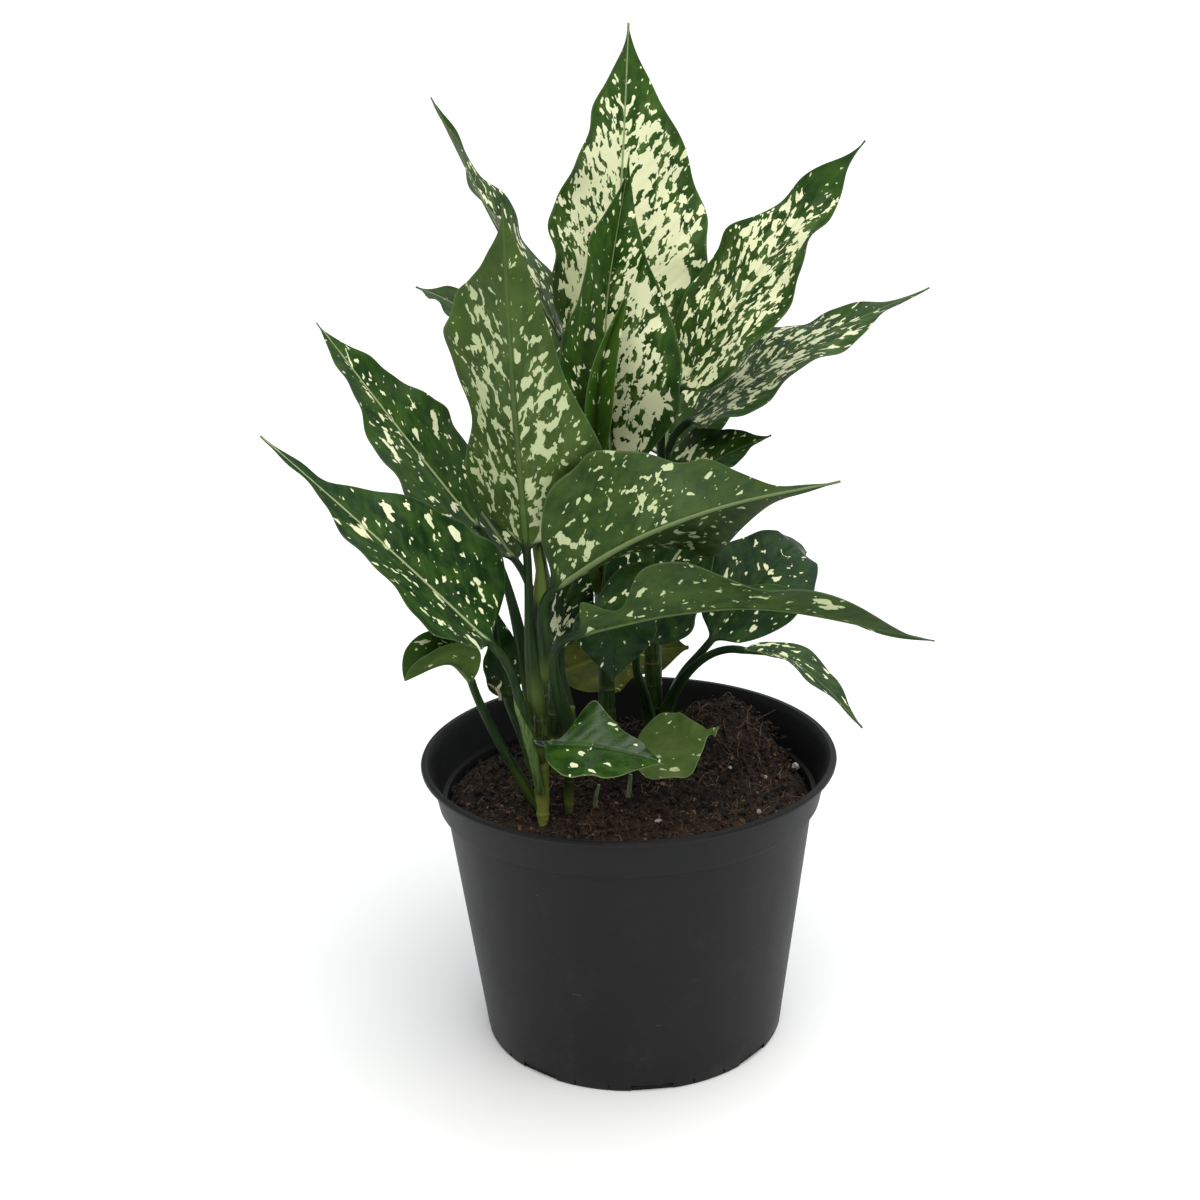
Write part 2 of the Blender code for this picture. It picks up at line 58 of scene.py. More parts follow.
# %% Camera at the photo's viewing angle
def put_in_scene(name, data):
    """A new object that holds a camera, mesh, curve or lamp."""
    item = bpy.data.objects.new(name, data)
    bpy.context.scene.collection.objects.link(item)
    return item


CAMERA_PLACE = Vector((0.0, -0.947, 0.5635))
CAMERA_PITCH = 0.337
CAMERA_TURN = -0.0129
CAMERA_ROLL = -0.0275
SENSOR_WIDTH = 36.0
FOCAL_LENGTH = 61.0

forward = Vector((
    math.sin(CAMERA_TURN) * math.cos(CAMERA_PITCH),
    math.cos(CAMERA_TURN) * math.cos(CAMERA_PITCH),
    -math.sin(CAMERA_PITCH),
))
level = Vector((math.cos(CAMERA_TURN), -math.sin(CAMERA_TURN), 0.0))
roll = Matrix.Rotation(CAMERA_ROLL, 3, -forward)
right = roll @ level
upward = right.cross(forward)
camera_data = bpy.data.cameras.new("camera")
camera_data.sensor_width = SENSOR_WIDTH
camera_data.lens = FOCAL_LENGTH
camera = put_in_scene("camera", camera_data)
camera_axes = Matrix((right, upward, -forward)).transposed().to_4x4()
camera.matrix_world = Matrix.Translation(CAMERA_PLACE) @ camera_axes
bpy.context.scene.camera = camera
print("camera looks along", [round(value, 3) for value in forward])

# %% [markdown]
# ## Small helpers
# A shader is a graph of nodes, and short helpers keep the graphs below readable: they add a node
# and feed it, do arithmetic, mix two colours and make noise. Others make a material, and turn a
# finished bmesh into an object that rides on the plant's one body.

# %% Helpers for shader nodes
def wire(tree, kind, values=None, **settings):
    """Adds a node, sets its settings and feeds its inputs with values or other sockets."""
    made = tree.nodes.new("ShaderNode" + kind)
    for setting, choice in settings.items():
        setattr(made, setting, choice)
    for name, value in (values or {}).items():
        if isinstance(value, bpy.types.NodeSocket):
            tree.links.new(value, made.inputs[name])
        else:
            made.inputs[name].default_value = value
    return made


def maths(tree, operation, a, b=0.0, clamp=False):
    return wire(tree, "Math", {0: a, 1: b}, operation=operation, use_clamp=clamp).outputs[0]


def plus(tree, a, b):
    return maths(tree, "ADD", a, b)


def minus(tree, a, b):
    return maths(tree, "SUBTRACT", a, b)


def times(tree, a, b):
    return maths(tree, "MULTIPLY", a, b)


def flipped(tree, share):
    """1 where share is 0, and 0 where it is 1."""
    return minus(tree, 1.0, share)


def parted(tree, vector):
    """The X, Y and Z of a vector."""
    return tuple(wire(tree, "SeparateXYZ", {0: vector}).outputs)


def attribute(tree, name, output="Vector"):
    """What the mesh says at each of its points, under a name."""
    return wire(tree, "Attribute", attribute_name=name).outputs[output]


def blended(tree, share, a, b):
    """The colour a where share is 0 and the colour b where it is 1."""
    return wire(tree, "Mix", {0: share, 6: a, 7: b}, data_type="RGBA").outputs[2]


def between(tree, value, low, high):
    """0 below low, 1 above high, and a smooth rise from one to the other."""
    values = {"Value": value, "From Min": low, "From Max": high}
    return wire(tree, "MapRange", values, interpolation_type="SMOOTHSTEP").outputs["Result"]


def above(tree, value, limit, softness):
    """1 where value is over the limit. softness is how wide the edge between is."""
    return between(tree, value, limit, plus(tree, limit, softness))


def grain(tree, vector, factors, detail=2.0, rough=0.5, distortion=0.0):
    """Noise from 0 to 1. factors are how many lumps there are per unit, along each axis or all three."""
    if not isinstance(factors, tuple):
        factors = (factors, factors, factors)
    values = {
        "Vector": wire(tree, "VectorMath", {0: vector, 1: factors}, operation="MULTIPLY").outputs[0],
        "Scale": 1.0,
        "Detail": detail,
        "Roughness": rough,
        "Distortion": distortion,
    }
    return wire(tree, "TexNoise", values).outputs["Fac"]


def colour(red, green, blue):
    return (red, green, blue, 1.0)


# %% Helpers for pieces and materials
def new_material(name, roughness, gloss=0.5):
    """A material, its node tree and its shader, with plain roughness and gloss set on the shader."""
    made = bpy.data.materials.new(name)
    made.use_nodes = True
    shader = made.node_tree.nodes["Principled BSDF"]
    shader.inputs["Roughness"].default_value = roughness
    shader.inputs["Specular IOR Level"].default_value = gloss
    return made, made.node_tree, shader


def object_place(tree):
    """Where a point is on its object, in metres."""
    return wire(tree, "TexCoord").outputs["Object"]


def coated(tree, shader, skin, height, relief):
    """Gives the shader its colour, and raises it by a height from 0 to 1 times relief, in metres."""
    tree.links.new(skin, shader.inputs["Base Color"])
    bump = wire(tree, "Bump", {"Height": height, "Distance": relief, "Strength": 1.0})
    tree.links.new(bump.outputs[0], shader.inputs["Normal"])


def two_tone(name, roughness, colours, lumps, relief, gloss=0.5, ends=(0.35, 0.65), **noise_values):
    """A material of two colours in patches. lumps are patches per metre, relief their height."""
    made, tree, shader = new_material(name, roughness, gloss=gloss)
    patches = grain(tree, object_place(tree), lumps, **noise_values)
    skin = blended(tree, between(tree, patches, *ends), *colours)
    coated(tree, shader, skin, patches, relief)
    return made


def finished_mesh(name, bm):
    mesh = bpy.data.meshes.new(name)
    bm.to_mesh(mesh)
    bm.free()
    return mesh


def place_piece(name, bm, made_material, replaces=(), sharp=40.0, in_mm=True):
    """Turns a bmesh into a piece that rides on the plant, and hides the nodes it stands for."""
    if in_mm:
        bmesh.ops.scale(bm, vec=(MM, MM, MM), verts=bm.verts[:])
    mesh = finished_mesh(name, bm)
    mesh.materials.append(made_material)
    mesh.shade_smooth()
    mesh.set_sharp_from_angle(angle=math.radians(sharp))
    item = put_in_scene(name, mesh)
    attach(item, "root")
    if replaces:
        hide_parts(*replaces)
    return item


# %% [markdown]
# ## The plant's measurements
# The leaves were measured once, for the solids: where each midrib runs, how wide its blade is, which
# way its upper side looks, how much it is folded and waved. The same values are repeated here, so
# the finer leaf fills the same space as the solid that it replaces. What is new is how each leaf is
# coloured: how much of each side is cream, how light the green is and how pale the midrib.

# %% Canes and soil
SOIL_LEVEL = 127.0
# Each heap of peat: (centre, height, radius)
HEAPS = (((34, 46), 11, 46), ((55, 53), 17, 30))
SCAR_SPACING = 13.0
SCAR_SWELL = 0.5
CANE_SIDES = 10
CANE_BURIED = 45.0
CANE_UPRIGHT = 11.0


@dataclass
class Cane:
    """A cane stands straight in the soil and then leans to its top, which may end in a bud.

    bud is the length of that bud, and pale is how far up from the soil the cane is pale.
    """

    foot: tuple
    top: tuple
    radius: float
    top_radius: float
    bud: float = 0.0
    pale: float = 20.0


CANES = {
    "cane_front": Cane((-43, -34), (-40, -40, 248), 3.6, 3.8, bud=26, pale=62),
    "cane_side": Cane((-30, -25), (-27, -30, 188), 2.8, 1.8),
    "cane_middle": Cane((-10, 24), (-12, 12, 268), 4.6, 3.6),
    "cane_rear": Cane((14, 44), (14, 28, 262), 5.0, 3.8),
    "cane_back": Cane((-38, 32), (-32, 38, 262), 4.6, 3.6),
}


def soil_height(x, y):
    """The soil surface: level, with peat heaped by the rear cane and small hollows."""
    heap = 0.0
    for centre, height, radius in HEAPS:
        heap += height * math.exp(-((math.dist((x, y), centre) / radius) ** 2))
    hollows = 0.9 * math.sin(x * 0.13 + 1.0) * math.cos(y * 0.11)
    hollows += 0.6 * math.sin(x * 0.05 - y * 0.21)
    return SOIL_LEVEL + heap + hollows


def cane_point(cane, height):
    foot = Vector((*cane.foot, 0.0))
    top = Vector((cane.top[0], cane.top[1], 0.0))
    start = SOIL_LEVEL + CANE_UPRIGHT
    share = max(0.0, (height - start) / (cane.top[2] - start))
    centre = foot.lerp(top, share**1.3)
    return Vector((centre.x, centre.y, height))


def cane_radius(cane, height):
    share = min(1.0, max(0.0, (height - SOIL_LEVEL) / (cane.top[2] - SOIL_LEVEL)))
    return cane.radius + (cane.top_radius - cane.radius) * share


def scar_heights(cane):
    lowest = soil_height(*cane.foot) + SCAR_SPACING / 2
    count = int((cane.top[2] - SCAR_SPACING / 2 - lowest) / SCAR_SPACING)
    return [lowest + SCAR_SPACING * step for step in range(count + 1)]


# %% Leaves
TIP_POWER = 1.45


@dataclass
class Leaf:
    """A petiole that leaves its cane at the scar nearest to joint, and a blade along points.

    turn moves the petiole's foot round the cane, inset moves it inwards and bow bends the petiole.
    fold raises both halves of the blade, and flatten takes the fold away towards the tip. twist
    turns the blade about its midrib, skew slides one half towards the tip and the other back, and
    taper says how soon the blade narrows. waves is how many waves the margin has, wave how high they
    are, and start shifts them along. Each of edges shapes one half's margin: (side, share of the
    blade, breadth, lift, spread).

    cream is the share of cream on the upper side and on the underside, bias moves it from one half
    of the blade to the other, and blotch adds a few large splashes. tone runs from a deep green at 0
    to a light one at 1 and a young yellowish one at 2. rib and rim say how pale the midrib and the
    margin are, and shine how glossy the leaf is.
    """

    cane: str
    joint: float
    points: tuple
    width: float
    face: tuple
    fold: float = 12.0
    flatten: float = 0.0
    twist: float = 0.0
    skew: float = 0.0
    taper: float = TIP_POWER
    wave: float = 3.0
    waves: float = 3.0
    start: float = 0.0
    turn: float = 0.0
    inset: float = 0.0
    bow: tuple = (0.0, 0.0, 0.0)
    edges: tuple = ()
    cream: tuple = (0.2, 0.15)
    bias: float = 0.0
    blotch: float = 0.0
    tone: float = 0.4
    rib: float = 0.5
    rim: float = 0.12
    shine: float = 0.0


LEAVES = {
    "leaf_top": Leaf(
        cane="cane_rear", joint=246, turn=-10,
        points=((-8, 25, 341), (2, 40, 421), (8, 48, 503)),
        width=92, face=(0.5, -0.86, 0.08), fold=18, start=40,
        cream=(0.84, 0.5), tone=0.6, rib=0.8,
    ),
    "leaf_upper_left": Leaf(
        cane="cane_back", joint=250,
        points=((-26, 16, 357), (-57, 26, 413), (-86, 38, 472)),
        width=62, face=(0.91, -0.06, 0.4), fold=10, start=200,
        cream=(0.45, 0.4), tone=0.4,
    ),
    "leaf_front_tall": Leaf(
        cane="cane_front", joint=195,
        points=((-45, -47, 272), (-48, -56, 354), (-49, -62, 436)),
        width=72, face=(0.28, 0.95, 0.09), fold=24, skew=0.7, start=120,
        edges=(
            (1, 0.1, 0.1, 0, 8),
            (1, 0.28, 0.08, 0, -5),
            (1, 0.46, 0.05, 0, 4),
            (1, 0.62, 0.09, 0, 7),
            (-1, 0.42, 0.08, 0, 4),
            (-1, 0.62, 0.1, 0, -4),
        ),
        cream=(0.5, 0.52), tone=0.7, rib=0.15,
    ),
    "leaf_centre": Leaf(
        cane="cane_middle", joint=235,
        points=((-5, 2, 295), (-6, -8, 373), (7, 5, 447)),
        width=74, face=(0.25, -0.97, 0), fold=44, start=80,
        edges=((1, 0.35, 0.15, 0, 5), (1, 0.8, 0.1, 0, -4)),
        cream=(0.5, 0.4), bias=0.5, tone=0.5, rib=0.7,
    ),
    "leaf_spear": Leaf(
        cane="cane_middle", joint=246, turn=-35,
        points=((-14, -20, 304), (-9, -24, 352), (6, -20, 392)),
        width=26, face=(0.13, -1, 0), fold=60, wave=0,
        cream=(0.05, 0.05), tone=1.15, rib=0.2,
    ),
    "leaf_upper_right": Leaf(
        cane="cane_rear", joint=238, turn=30, bow=(-2, 8, 0),
        points=((27, 5, 334), (69, 3, 396), (116, 10, 450)),
        width=76, face=(-0.69, -0.43, 0.58), fold=4, start=150,
        edges=((-1, 0.8, 0.06, 0, 4), (-1, 0.62, 0.06, 0, -3), (1, 0.66, 0.06, 0, -3)),
        cream=(0.58, 0.4), tone=0.45, rib=0.1,
    ),
    "leaf_right": Leaf(
        cane="cane_rear", joint=205, turn=50,
        points=((32, 20, 315), (82, 12, 351), (149, 20, 379)),
        width=74, face=(-0.45, -0.15, 0.88), fold=2, start=260,
        cream=(0.47, 0.3), tone=0.5, rib=0.3,
    ),
    "leaf_far_left": Leaf(
        cane="cane_back", joint=230,
        points=((-59, 50, 350), (-80, 58, 368), (-101, 66, 377)),
        width=32, face=(0.3, -0.3, 0.9), fold=14, wave=1.4, start=30,
        cream=(0.1, 0.1), tone=0.4,
    ),
    "leaf_left_upper": Leaf(
        cane="cane_front", joint=190,
        points=((-70, 6, 267), (-107, 6, 319), (-144, 12, 371)),
        width=75, face=(0.76, -0.32, 0.57), fold=8, wave=2.2, start=300,
        edges=((-1, 0.3, 0.14, 0, 6), (-1, 0.62, 0.1, 0, -3)),
        cream=(0.2, 0.2), blotch=0.6, tone=0.45, rib=0.9,
    ),
    "leaf_left": Leaf(
        cane="cane_front", joint=172,
        points=((-62, -55, 229), (-107, -60, 279), (-164, -50, 332)),
        width=80, face=(0.66, -0.34, 0.67), fold=19, taper=1.8, wave=2, start=220,
        edges=(
            (1, 0.12, 0.12, 0, 9),
            (1, 0.78, 0.08, 0, -5),
            (-1, 0.42, 0.1, 0, 5),
            (-1, 0.12, 0.08, 0, -4),
        ),
        cream=(0.15, 0.12), blotch=1, tone=0.22, rib=0.9,
    ),
    "leaf_low_left": Leaf(
        cane="cane_front", joint=142, turn=-40, bow=(-8, 0, 0),
        points=((-73, -56, 212), (-83, -68, 226), (-102, -78, 222)),
        width=33, face=(0.05, -0.1, 1), fold=58, taper=0.55, wave=0.4, start=90,
        cream=(0.12, 0.12), tone=0.7, rib=0.1,
    ),
    "leaf_arching": Leaf(
        cane="cane_front", joint=205,
        points=((-33, -60, 258), (-6, -71, 279), (19, -75, 292), (53, -66, 300), (100, -50, 304)),
        width=88, face=(-0.18, 0.93, 0.32), fold=36, twist=-28, taper=1.7, start=170,
        edges=(
            (-1, 0.28, 0.26, 14, 0),
            (-1, 0.7, 0.09, 0, 12),
            (1, 0.7, 0.05, 0, 3),
            (1, 0.84, 0.06, 0, -3),
        ),
        cream=(0.3, 0.28), tone=0.22, rib=0.35,
    ),
    "leaf_right_long": Leaf(
        cane="cane_side", joint=165,
        points=((-23, -75, 241), (25, -84, 254), (70, -86, 255), (138, -95, 242)),
        width=68, face=(0.03, 0.42, 0.91), fold=50, flatten=0.9, wave=6, waves=2, start=-126,
        edges=(
            (1, 0.05, 0.05, 0, 6),
            (1, 0.17, 0.07, 0, -18),
            (1, 0.33, 0.08, 0, -5),
            (1, 0.82, 0.09, 0, 5),
            (-1, 0.17, 0.12, 8, 3),
        ),
        cream=(0.2, 0.18), tone=0.28, rib=0.2,
    ),
    "leaf_right_round": Leaf(
        cane="cane_rear", joint=158, turn=10,
        points=((43, 25, 199), (69, 38, 227), (87, 56, 238), (97, 80, 228)),
        width=54, face=(-0.01, -0.79, 0.61), fold=2, wave=2, start=60,
        edges=((-1, 0.6, 0.2, 0, -5),),
        cream=(0.16, 0.1), tone=0.0, rib=0.08,
    ),
    "leaf_drooping": Leaf(
        cane="cane_rear", joint=148, turn=-15,
        points=((57, 2, 203), (79, -8, 202), (97, -25, 192), (113, -42, 178)),
        width=29, face=(0.39, -0.08, 0.92), fold=14, wave=1, start=320,
        cream=(0.32, 0.2), tone=0.25, rib=0.25,
    ),
    "leaf_small_right": Leaf(
        cane="cane_rear", joint=220, turn=-18,
        points=((22, 3, 284), (45, 0, 301), (72, -2, 314)),
        width=54, face=(-0.36, -0.26, 0.9), fold=14, wave=1.5, start=240,
        cream=(0.32, 0.25), tone=0.25, rib=0.25,
    ),
    "leaf_inner_right": Leaf(
        cane="cane_rear", joint=145,
        points=((7, -6, 212), (22, -9, 251), (54, 6, 286)),
        width=58, face=(-0.43, -0.8, 0.41), wave=1.5, start=10,
        cream=(0.22, 0.15), tone=0.05, rib=0.9,
    ),
    "leaf_inner_dark": Leaf(
        cane="cane_middle", joint=200, bow=(-4, 0, 4),
        points=((-5, -18, 238), (-6, -25, 220), (-7, -27, 199)),
        width=42, face=(0.17, -0.95, 0.27), fold=10, wave=1.4, start=130,
        cream=(0.05, 0.05), tone=0.0, rib=0.04,
    ),
    "leaf_old": Leaf(
        cane="cane_back", joint=150,
        points=((-38, 52, 173), (-3, 60, 181), (33, 52, 186)),
        width=46, face=(-0.15, -0.76, 0.63), wave=1.8, start=190,
        edges=((1, 0.84, 0.1, 0, 7), (-1, 0.84, 0.1, 0, 5)),
        cream=(0.15, 0.1), tone=0.6, rib=0.3,
    ),
    "leaf_low_front": Leaf(
        cane="cane_front", joint=168, inset=0.7,
        points=((-40, -60, 181), (-13, -68, 182), (17, -78, 178)),
        width=42, face=(-0.12, -0.48, 0.87), fold=10, wave=0.8, start=280,
        edges=(
            (-1, 0.15, 0.11, 0, -12),
            (-1, 0.37, 0.07, 1, 3),
            (-1, 0.62, 0.15, 0, -4),
            (1, 0.74, 0.17, 0, 5),
        ),
        cream=(0.08, 0.08), tone=0.5, rib=0.04, rim=0.4, shine=1,
    ),
    "leaf_low_right": Leaf(
        cane="cane_middle", joint=148, inset=1,
        points=((2, -25, 161), (25, -35, 168), (44, -40, 179)),
        width=36, face=(-0.49, -0.55, 0.67), fold=8, wave=0.8, start=50,
        edges=(
            (1, 0.62, 0.12, 0, 6),
            (1, 0.84, 0.06, 0, -3),
            (1, 0.94, 0.03, 0, 3),
            (-1, 0.6, 0.1, 0, 2),
            (-1, 0.86, 0.05, 0, -2),
        ),
        cream=(0.05, 0.05), tone=1.45, rib=0.1, rim=0.4,
    ),
    "leaf_inner_left": Leaf(
        cane="cane_front", joint=160,
        points=((-59, -18, 188), (-62, -17, 210), (-63, -17, 236)),
        width=26, face=(0.65, -0.76, 0), fold=14, wave=0.8,
        cream=(0.05, 0.05), tone=0.1, rib=0.1,
    ),
    "leaf_inner_spotted": Leaf(
        cane="cane_side", joint=170,
        points=((-32, -11, 210), (-29, -11, 236), (-16, -5, 262)),
        width=40, face=(0.7, -0.69, -0.15), fold=14, wave=1.4, start=110,
        cream=(0.34, 0.2), tone=0.0, rib=0.15,
    ),
    "leaf_back_left": Leaf(
        cane="cane_back", joint=235,
        points=((-38, 62, 300), (-44, 105, 345), (-48, 150, 365)),
        width=76, face=(0, -0.4, 0.9), fold=14, start=20,
        cream=(0.5, 0.35), tone=0.4,
    ),
    "leaf_back_right": Leaf(
        cane="cane_rear", joint=222,
        points=((22, 62, 285), (28, 108, 325), (30, 155, 345)),
        width=80, face=(0, -0.4, 0.9), fold=14, start=140,
        cream=(0.45, 0.3), tone=0.35,
    ),
    "leaf_back_low_left": Leaf(
        cane="cane_back", joint=185,
        points=((-56, 62, 232), (-85, 95, 262), (-112, 128, 268)),
        width=72, face=(0.3, -0.3, 0.9), fold=14, start=250,
        cream=(0.25, 0.2), tone=0.3,
    ),
    "leaf_back_low_right": Leaf(
        cane="cane_rear", joint=204, inset=0.6,
        points=((18, 74, 232), (28, 118, 256), (34, 160, 258)),
        width=72, face=(0, -0.3, 0.95), fold=14, start=340,
        cream=(0.25, 0.2), tone=0.3,
    ),
}
print("canes:", len(CANES), "leaves:", len(LEAVES))

# %% [markdown]
# ## The line of a leaf
# A leaf begins as a stalk, the petiole, that grows out of a scar on its cane and carries the blade.
# One curve can hold both: a Bezier curve for the petiole, which has handles to bend it by, and a
# spline through measured points for the midrib. At each step along the line a small frame of three
# directions says which way the leaf's upper side looks, and the section is drawn in that frame.

# %% Curves for petiole and midrib
PETIOLE_FOOT_RADIUS = 2.9
PETIOLE_RADIUS = 2.0
PETIOLE_LEAN = 0.25
PETIOLE_RISE = 0.4
PETIOLE_BEND = 0.25
CANE_GAP = 0.3


def spline_point(points, share):
    """A point on a smooth curve through all of points, share from 0 to 1."""
    first = points[0] * 2 - points[1]
    last = points[-1] * 2 - points[-2]
    padded = [first, *points, last]
    place = min(max(share, 0.0), 1.0) * (len(points) - 1)
    index = min(int(place), len(points) - 2)
    t = place - index
    a, b, c, d = padded[index : index + 4]
    bend = 2 * a - 5 * b + 4 * c - d
    twist = 3 * b - a - 3 * c + d
    return 0.5 * (2 * b + (c - a) * t + bend * t**2 + twist * t**3)


def bezier_point(handles, t):
    a, b, c, d = handles
    return a * (1 - t) ** 3 + b * (3 * t * (1 - t) ** 2) + c * (3 * t**2 * (1 - t)) + d * t**3


def foot_reach(cane, scar, away):
    """How far the petiole's middle is from the cane's, so that its foot clears the cane's flat side."""
    corner = math.tau / CANE_SIDES
    turned_from_flat = math.atan2(away.y, away.x) % corner - corner / 2
    flat = (cane_radius(cane, scar) + SCAR_SWELL) * math.cos(corner / 2)
    return (flat + PETIOLE_FOOT_RADIUS + CANE_GAP) / math.cos(turned_from_flat)


def petiole_handles(leaf, blade):
    """The four handles of the petiole: up along its cane, then out to the blade."""
    cane = CANES[leaf.cane]
    scar = min(scar_heights(cane), key=lambda height: abs(height - leaf.joint))
    centre = cane_point(cane, scar)
    away = blade[0] - centre
    away.z = 0.0
    away.normalize()
    away.rotate(Matrix.Rotation(math.radians(leaf.turn), 3, "Z"))
    foot = centre + away * (foot_reach(cane, scar, away) - leaf.inset)
    span = (blade[0] - foot).length
    along = (blade[1] - blade[0]).normalized()
    up = (Vector((0, 0, 1)) + away * PETIOLE_LEAN).normalized()
    bow = Vector(leaf.bow)
    leaving = foot + up * span * PETIOLE_RISE + bow
    arriving = blade[0] - along * span * PETIOLE_BEND + bow
    return foot, leaving, arriving, blade[0]


# %% [markdown]
# The petiole doesn't stop at the skin of the cane: its foot is a sheath that clasps it. So the line
# starts inside the cane, fifteen millimetres below the scar, and the sheath's hollow side is turned
# towards the cane.

# %% Frames along a leaf
ROOT_ROWS = 6
ROOT_DROP = 15.0
PETIOLE_ROWS = 16
BLADE_ROWS = 92
ROW_EASE = 0.06
SHEATH_END = 0.8


def blade_share(row):
    even = row / BLADE_ROWS
    return even - ROW_EASE * math.sin(math.tau * even)


def leaf_rows(leaf):
    """For each row: centre, share of the petiole and share of the blade."""
    blade = [Vector(point) for point in leaf.points]
    handles = petiole_handles(leaf, blade)
    root = cane_point(CANES[leaf.cane], handles[0].z - ROOT_DROP)
    rows = []
    for row in range(ROOT_ROWS):
        rows.append((root.lerp(handles[0], row / ROOT_ROWS), 0.0, 0.0))
    for row in range(PETIOLE_ROWS):
        rows.append((bezier_point(handles, row / PETIOLE_ROWS), row / PETIOLE_ROWS, 0.0))
    for row in range(BLADE_ROWS + 1):
        share = blade_share(row)
        rows.append((spline_point(blade, share), 1.0, share))
    return rows


def leaf_frames(leaf):
    """For each row: centre, directions along and up, and shares of petiole and blade."""
    rows = leaf_rows(leaf)
    base = ROOT_ROWS + PETIOLE_ROWS
    frames = [None] * len(rows)
    facing = Vector(leaf.face)
    for row in list(range(base, len(rows))) + list(range(base - 1, -1, -1)):
        if row == base - 1:
            facing = frames[base][2]
        centre, stalk, share = rows[row]
        before = rows[max(row - 1, 0)][0]
        after = rows[min(row + 1, len(rows) - 1)][0]
        along = (after - before).normalized()
        up = (facing - along * facing.dot(along)).normalized()
        if row < base:
            facing = up
        turned = Matrix.Rotation(math.radians(leaf.twist) * share, 3, along) @ up
        frames[row] = (centre, along, turned, stalk, share)
    return frames


def towards_cane(leaf, frames):
    """Turns the foot's frames so that the sheath's hollow side looks at the cane."""
    cane = CANES[leaf.cane]
    turned = []
    for centre, along, up, stalk, share in frames:
        inward = cane_point(cane, centre.z) - centre
        inward -= along * inward.dot(along)
        hold = max(0.0, 1 - stalk / SHEATH_END) ** 0.5
        if inward.length > 0.5 and inward.normalized().dot(up) > -0.6 and hold > 0:
            up = up.lerp(inward.normalized(), hold).normalized()
        turned.append((centre, along, up, stalk, share))
    return turned


# %% [markdown]
# ## The form of a leaf
# A real blade is a sheet under half a millimetre thick with a thick midrib that stands out below.
# It could be a subdivided plane with a Solidify modifier, but then the midrib would need a piece of
# its own. Here a flat grid is made solid first, and each of its points is then carried to its place
# on the leaf. Columns are packed close over the midrib, so that it comes out round, and the same
# grid closes into the round petiole and opens into its sheath.

# %% Sections of a leaf
BASE_POWER = 0.8
TIP_HALF_WIDTH = 0.5
COLUMNS = 24
RIB_COLUMNS = 3
BLADE_THICKNESS = 0.6
EDGE_THICKNESS = 0.36
JOIN_SHARE = 0.07
SHEATH_WIDTH = 4.3
SHEATH_THICKNESS = 2.5
SHEATH_DEPTH = 1.8
ROOT_WIDTH = 0.3
STALK_ARC = math.radians(84)
RIB_TIP_RADIUS = 0.3
RIB_SWELL = 1.5
LEAST_BLADE = 0.3
RIDGE_ABOVE = 0.3
RIDGE_BELOW = 0.8
RIPPLE = 0.55
RIPPLES_PER_WAVE = 2.7
EDGE_RIPPLE = 0.02
EDGE_RIPPLES = 5.3
LARGE_LEAF = 80.0


def smooth_step(low, high, value):
    t = min(1.0, max(0.0, (value - low) / (high - low)))
    return t * t * (3 - 2 * t)


def half_width(leaf, share):
    peak = BASE_POWER / (BASE_POWER + leaf.taper)
    most = peak**BASE_POWER * (1 - peak) ** leaf.taper
    shape = share**BASE_POWER * (1 - share) ** leaf.taper / most
    return max(leaf.width / 2 * shape, TIP_HALF_WIDTH)


def edge_form(leaf, hand, share):
    """How far one half's margin is lifted and pushed out at a share of the blade."""
    lift = 0.0
    spread = 0.0
    for side, place, breadth, rise, out in leaf.edges:
        if side == hand:
            swell = math.exp(-(((share - place) / breadth) ** 2))
            lift += rise * swell
            spread += out * swell
    return lift, spread


def stalk_section(column, upper, stalk):
    """Round at the blade, and a hollow sheath at the foot."""
    angle = column * STALK_ARC
    sheath = 1 - smooth_step(0.0, SHEATH_END, stalk)
    wide = PETIOLE_RADIUS + (SHEATH_WIDTH - PETIOLE_RADIUS) * sheath
    thick = PETIOLE_RADIUS + (SHEATH_THICKNESS - PETIOLE_RADIUS) * sheath
    height = thick * math.cos(angle) * (1 if upper else -1)
    return wide * math.sin(angle), height + SHEATH_DEPTH * sheath * column**2


def rib_radius(share):
    return RIB_TIP_RADIUS + RIB_SWELL * (1 - share) ** 1.1


def blade_swing(leaf, hand, share, lift, size):
    """How far the margin waves up or down here, and how far it ripples on top of that."""
    phase = math.radians(leaf.start + (90 if hand < 0 else 0))
    ease = math.sin(math.pi * share) ** 0.7 if 0 < share < 1 else 0.0
    swing = math.sin(math.tau * leaf.waves * share + phase) * ease * leaf.wave + lift
    ripple = math.sin(math.tau * (leaf.waves * RIPPLES_PER_WAVE * share) + 2 * phase + hand)
    return swing, ripple * ease * RIPPLE * size


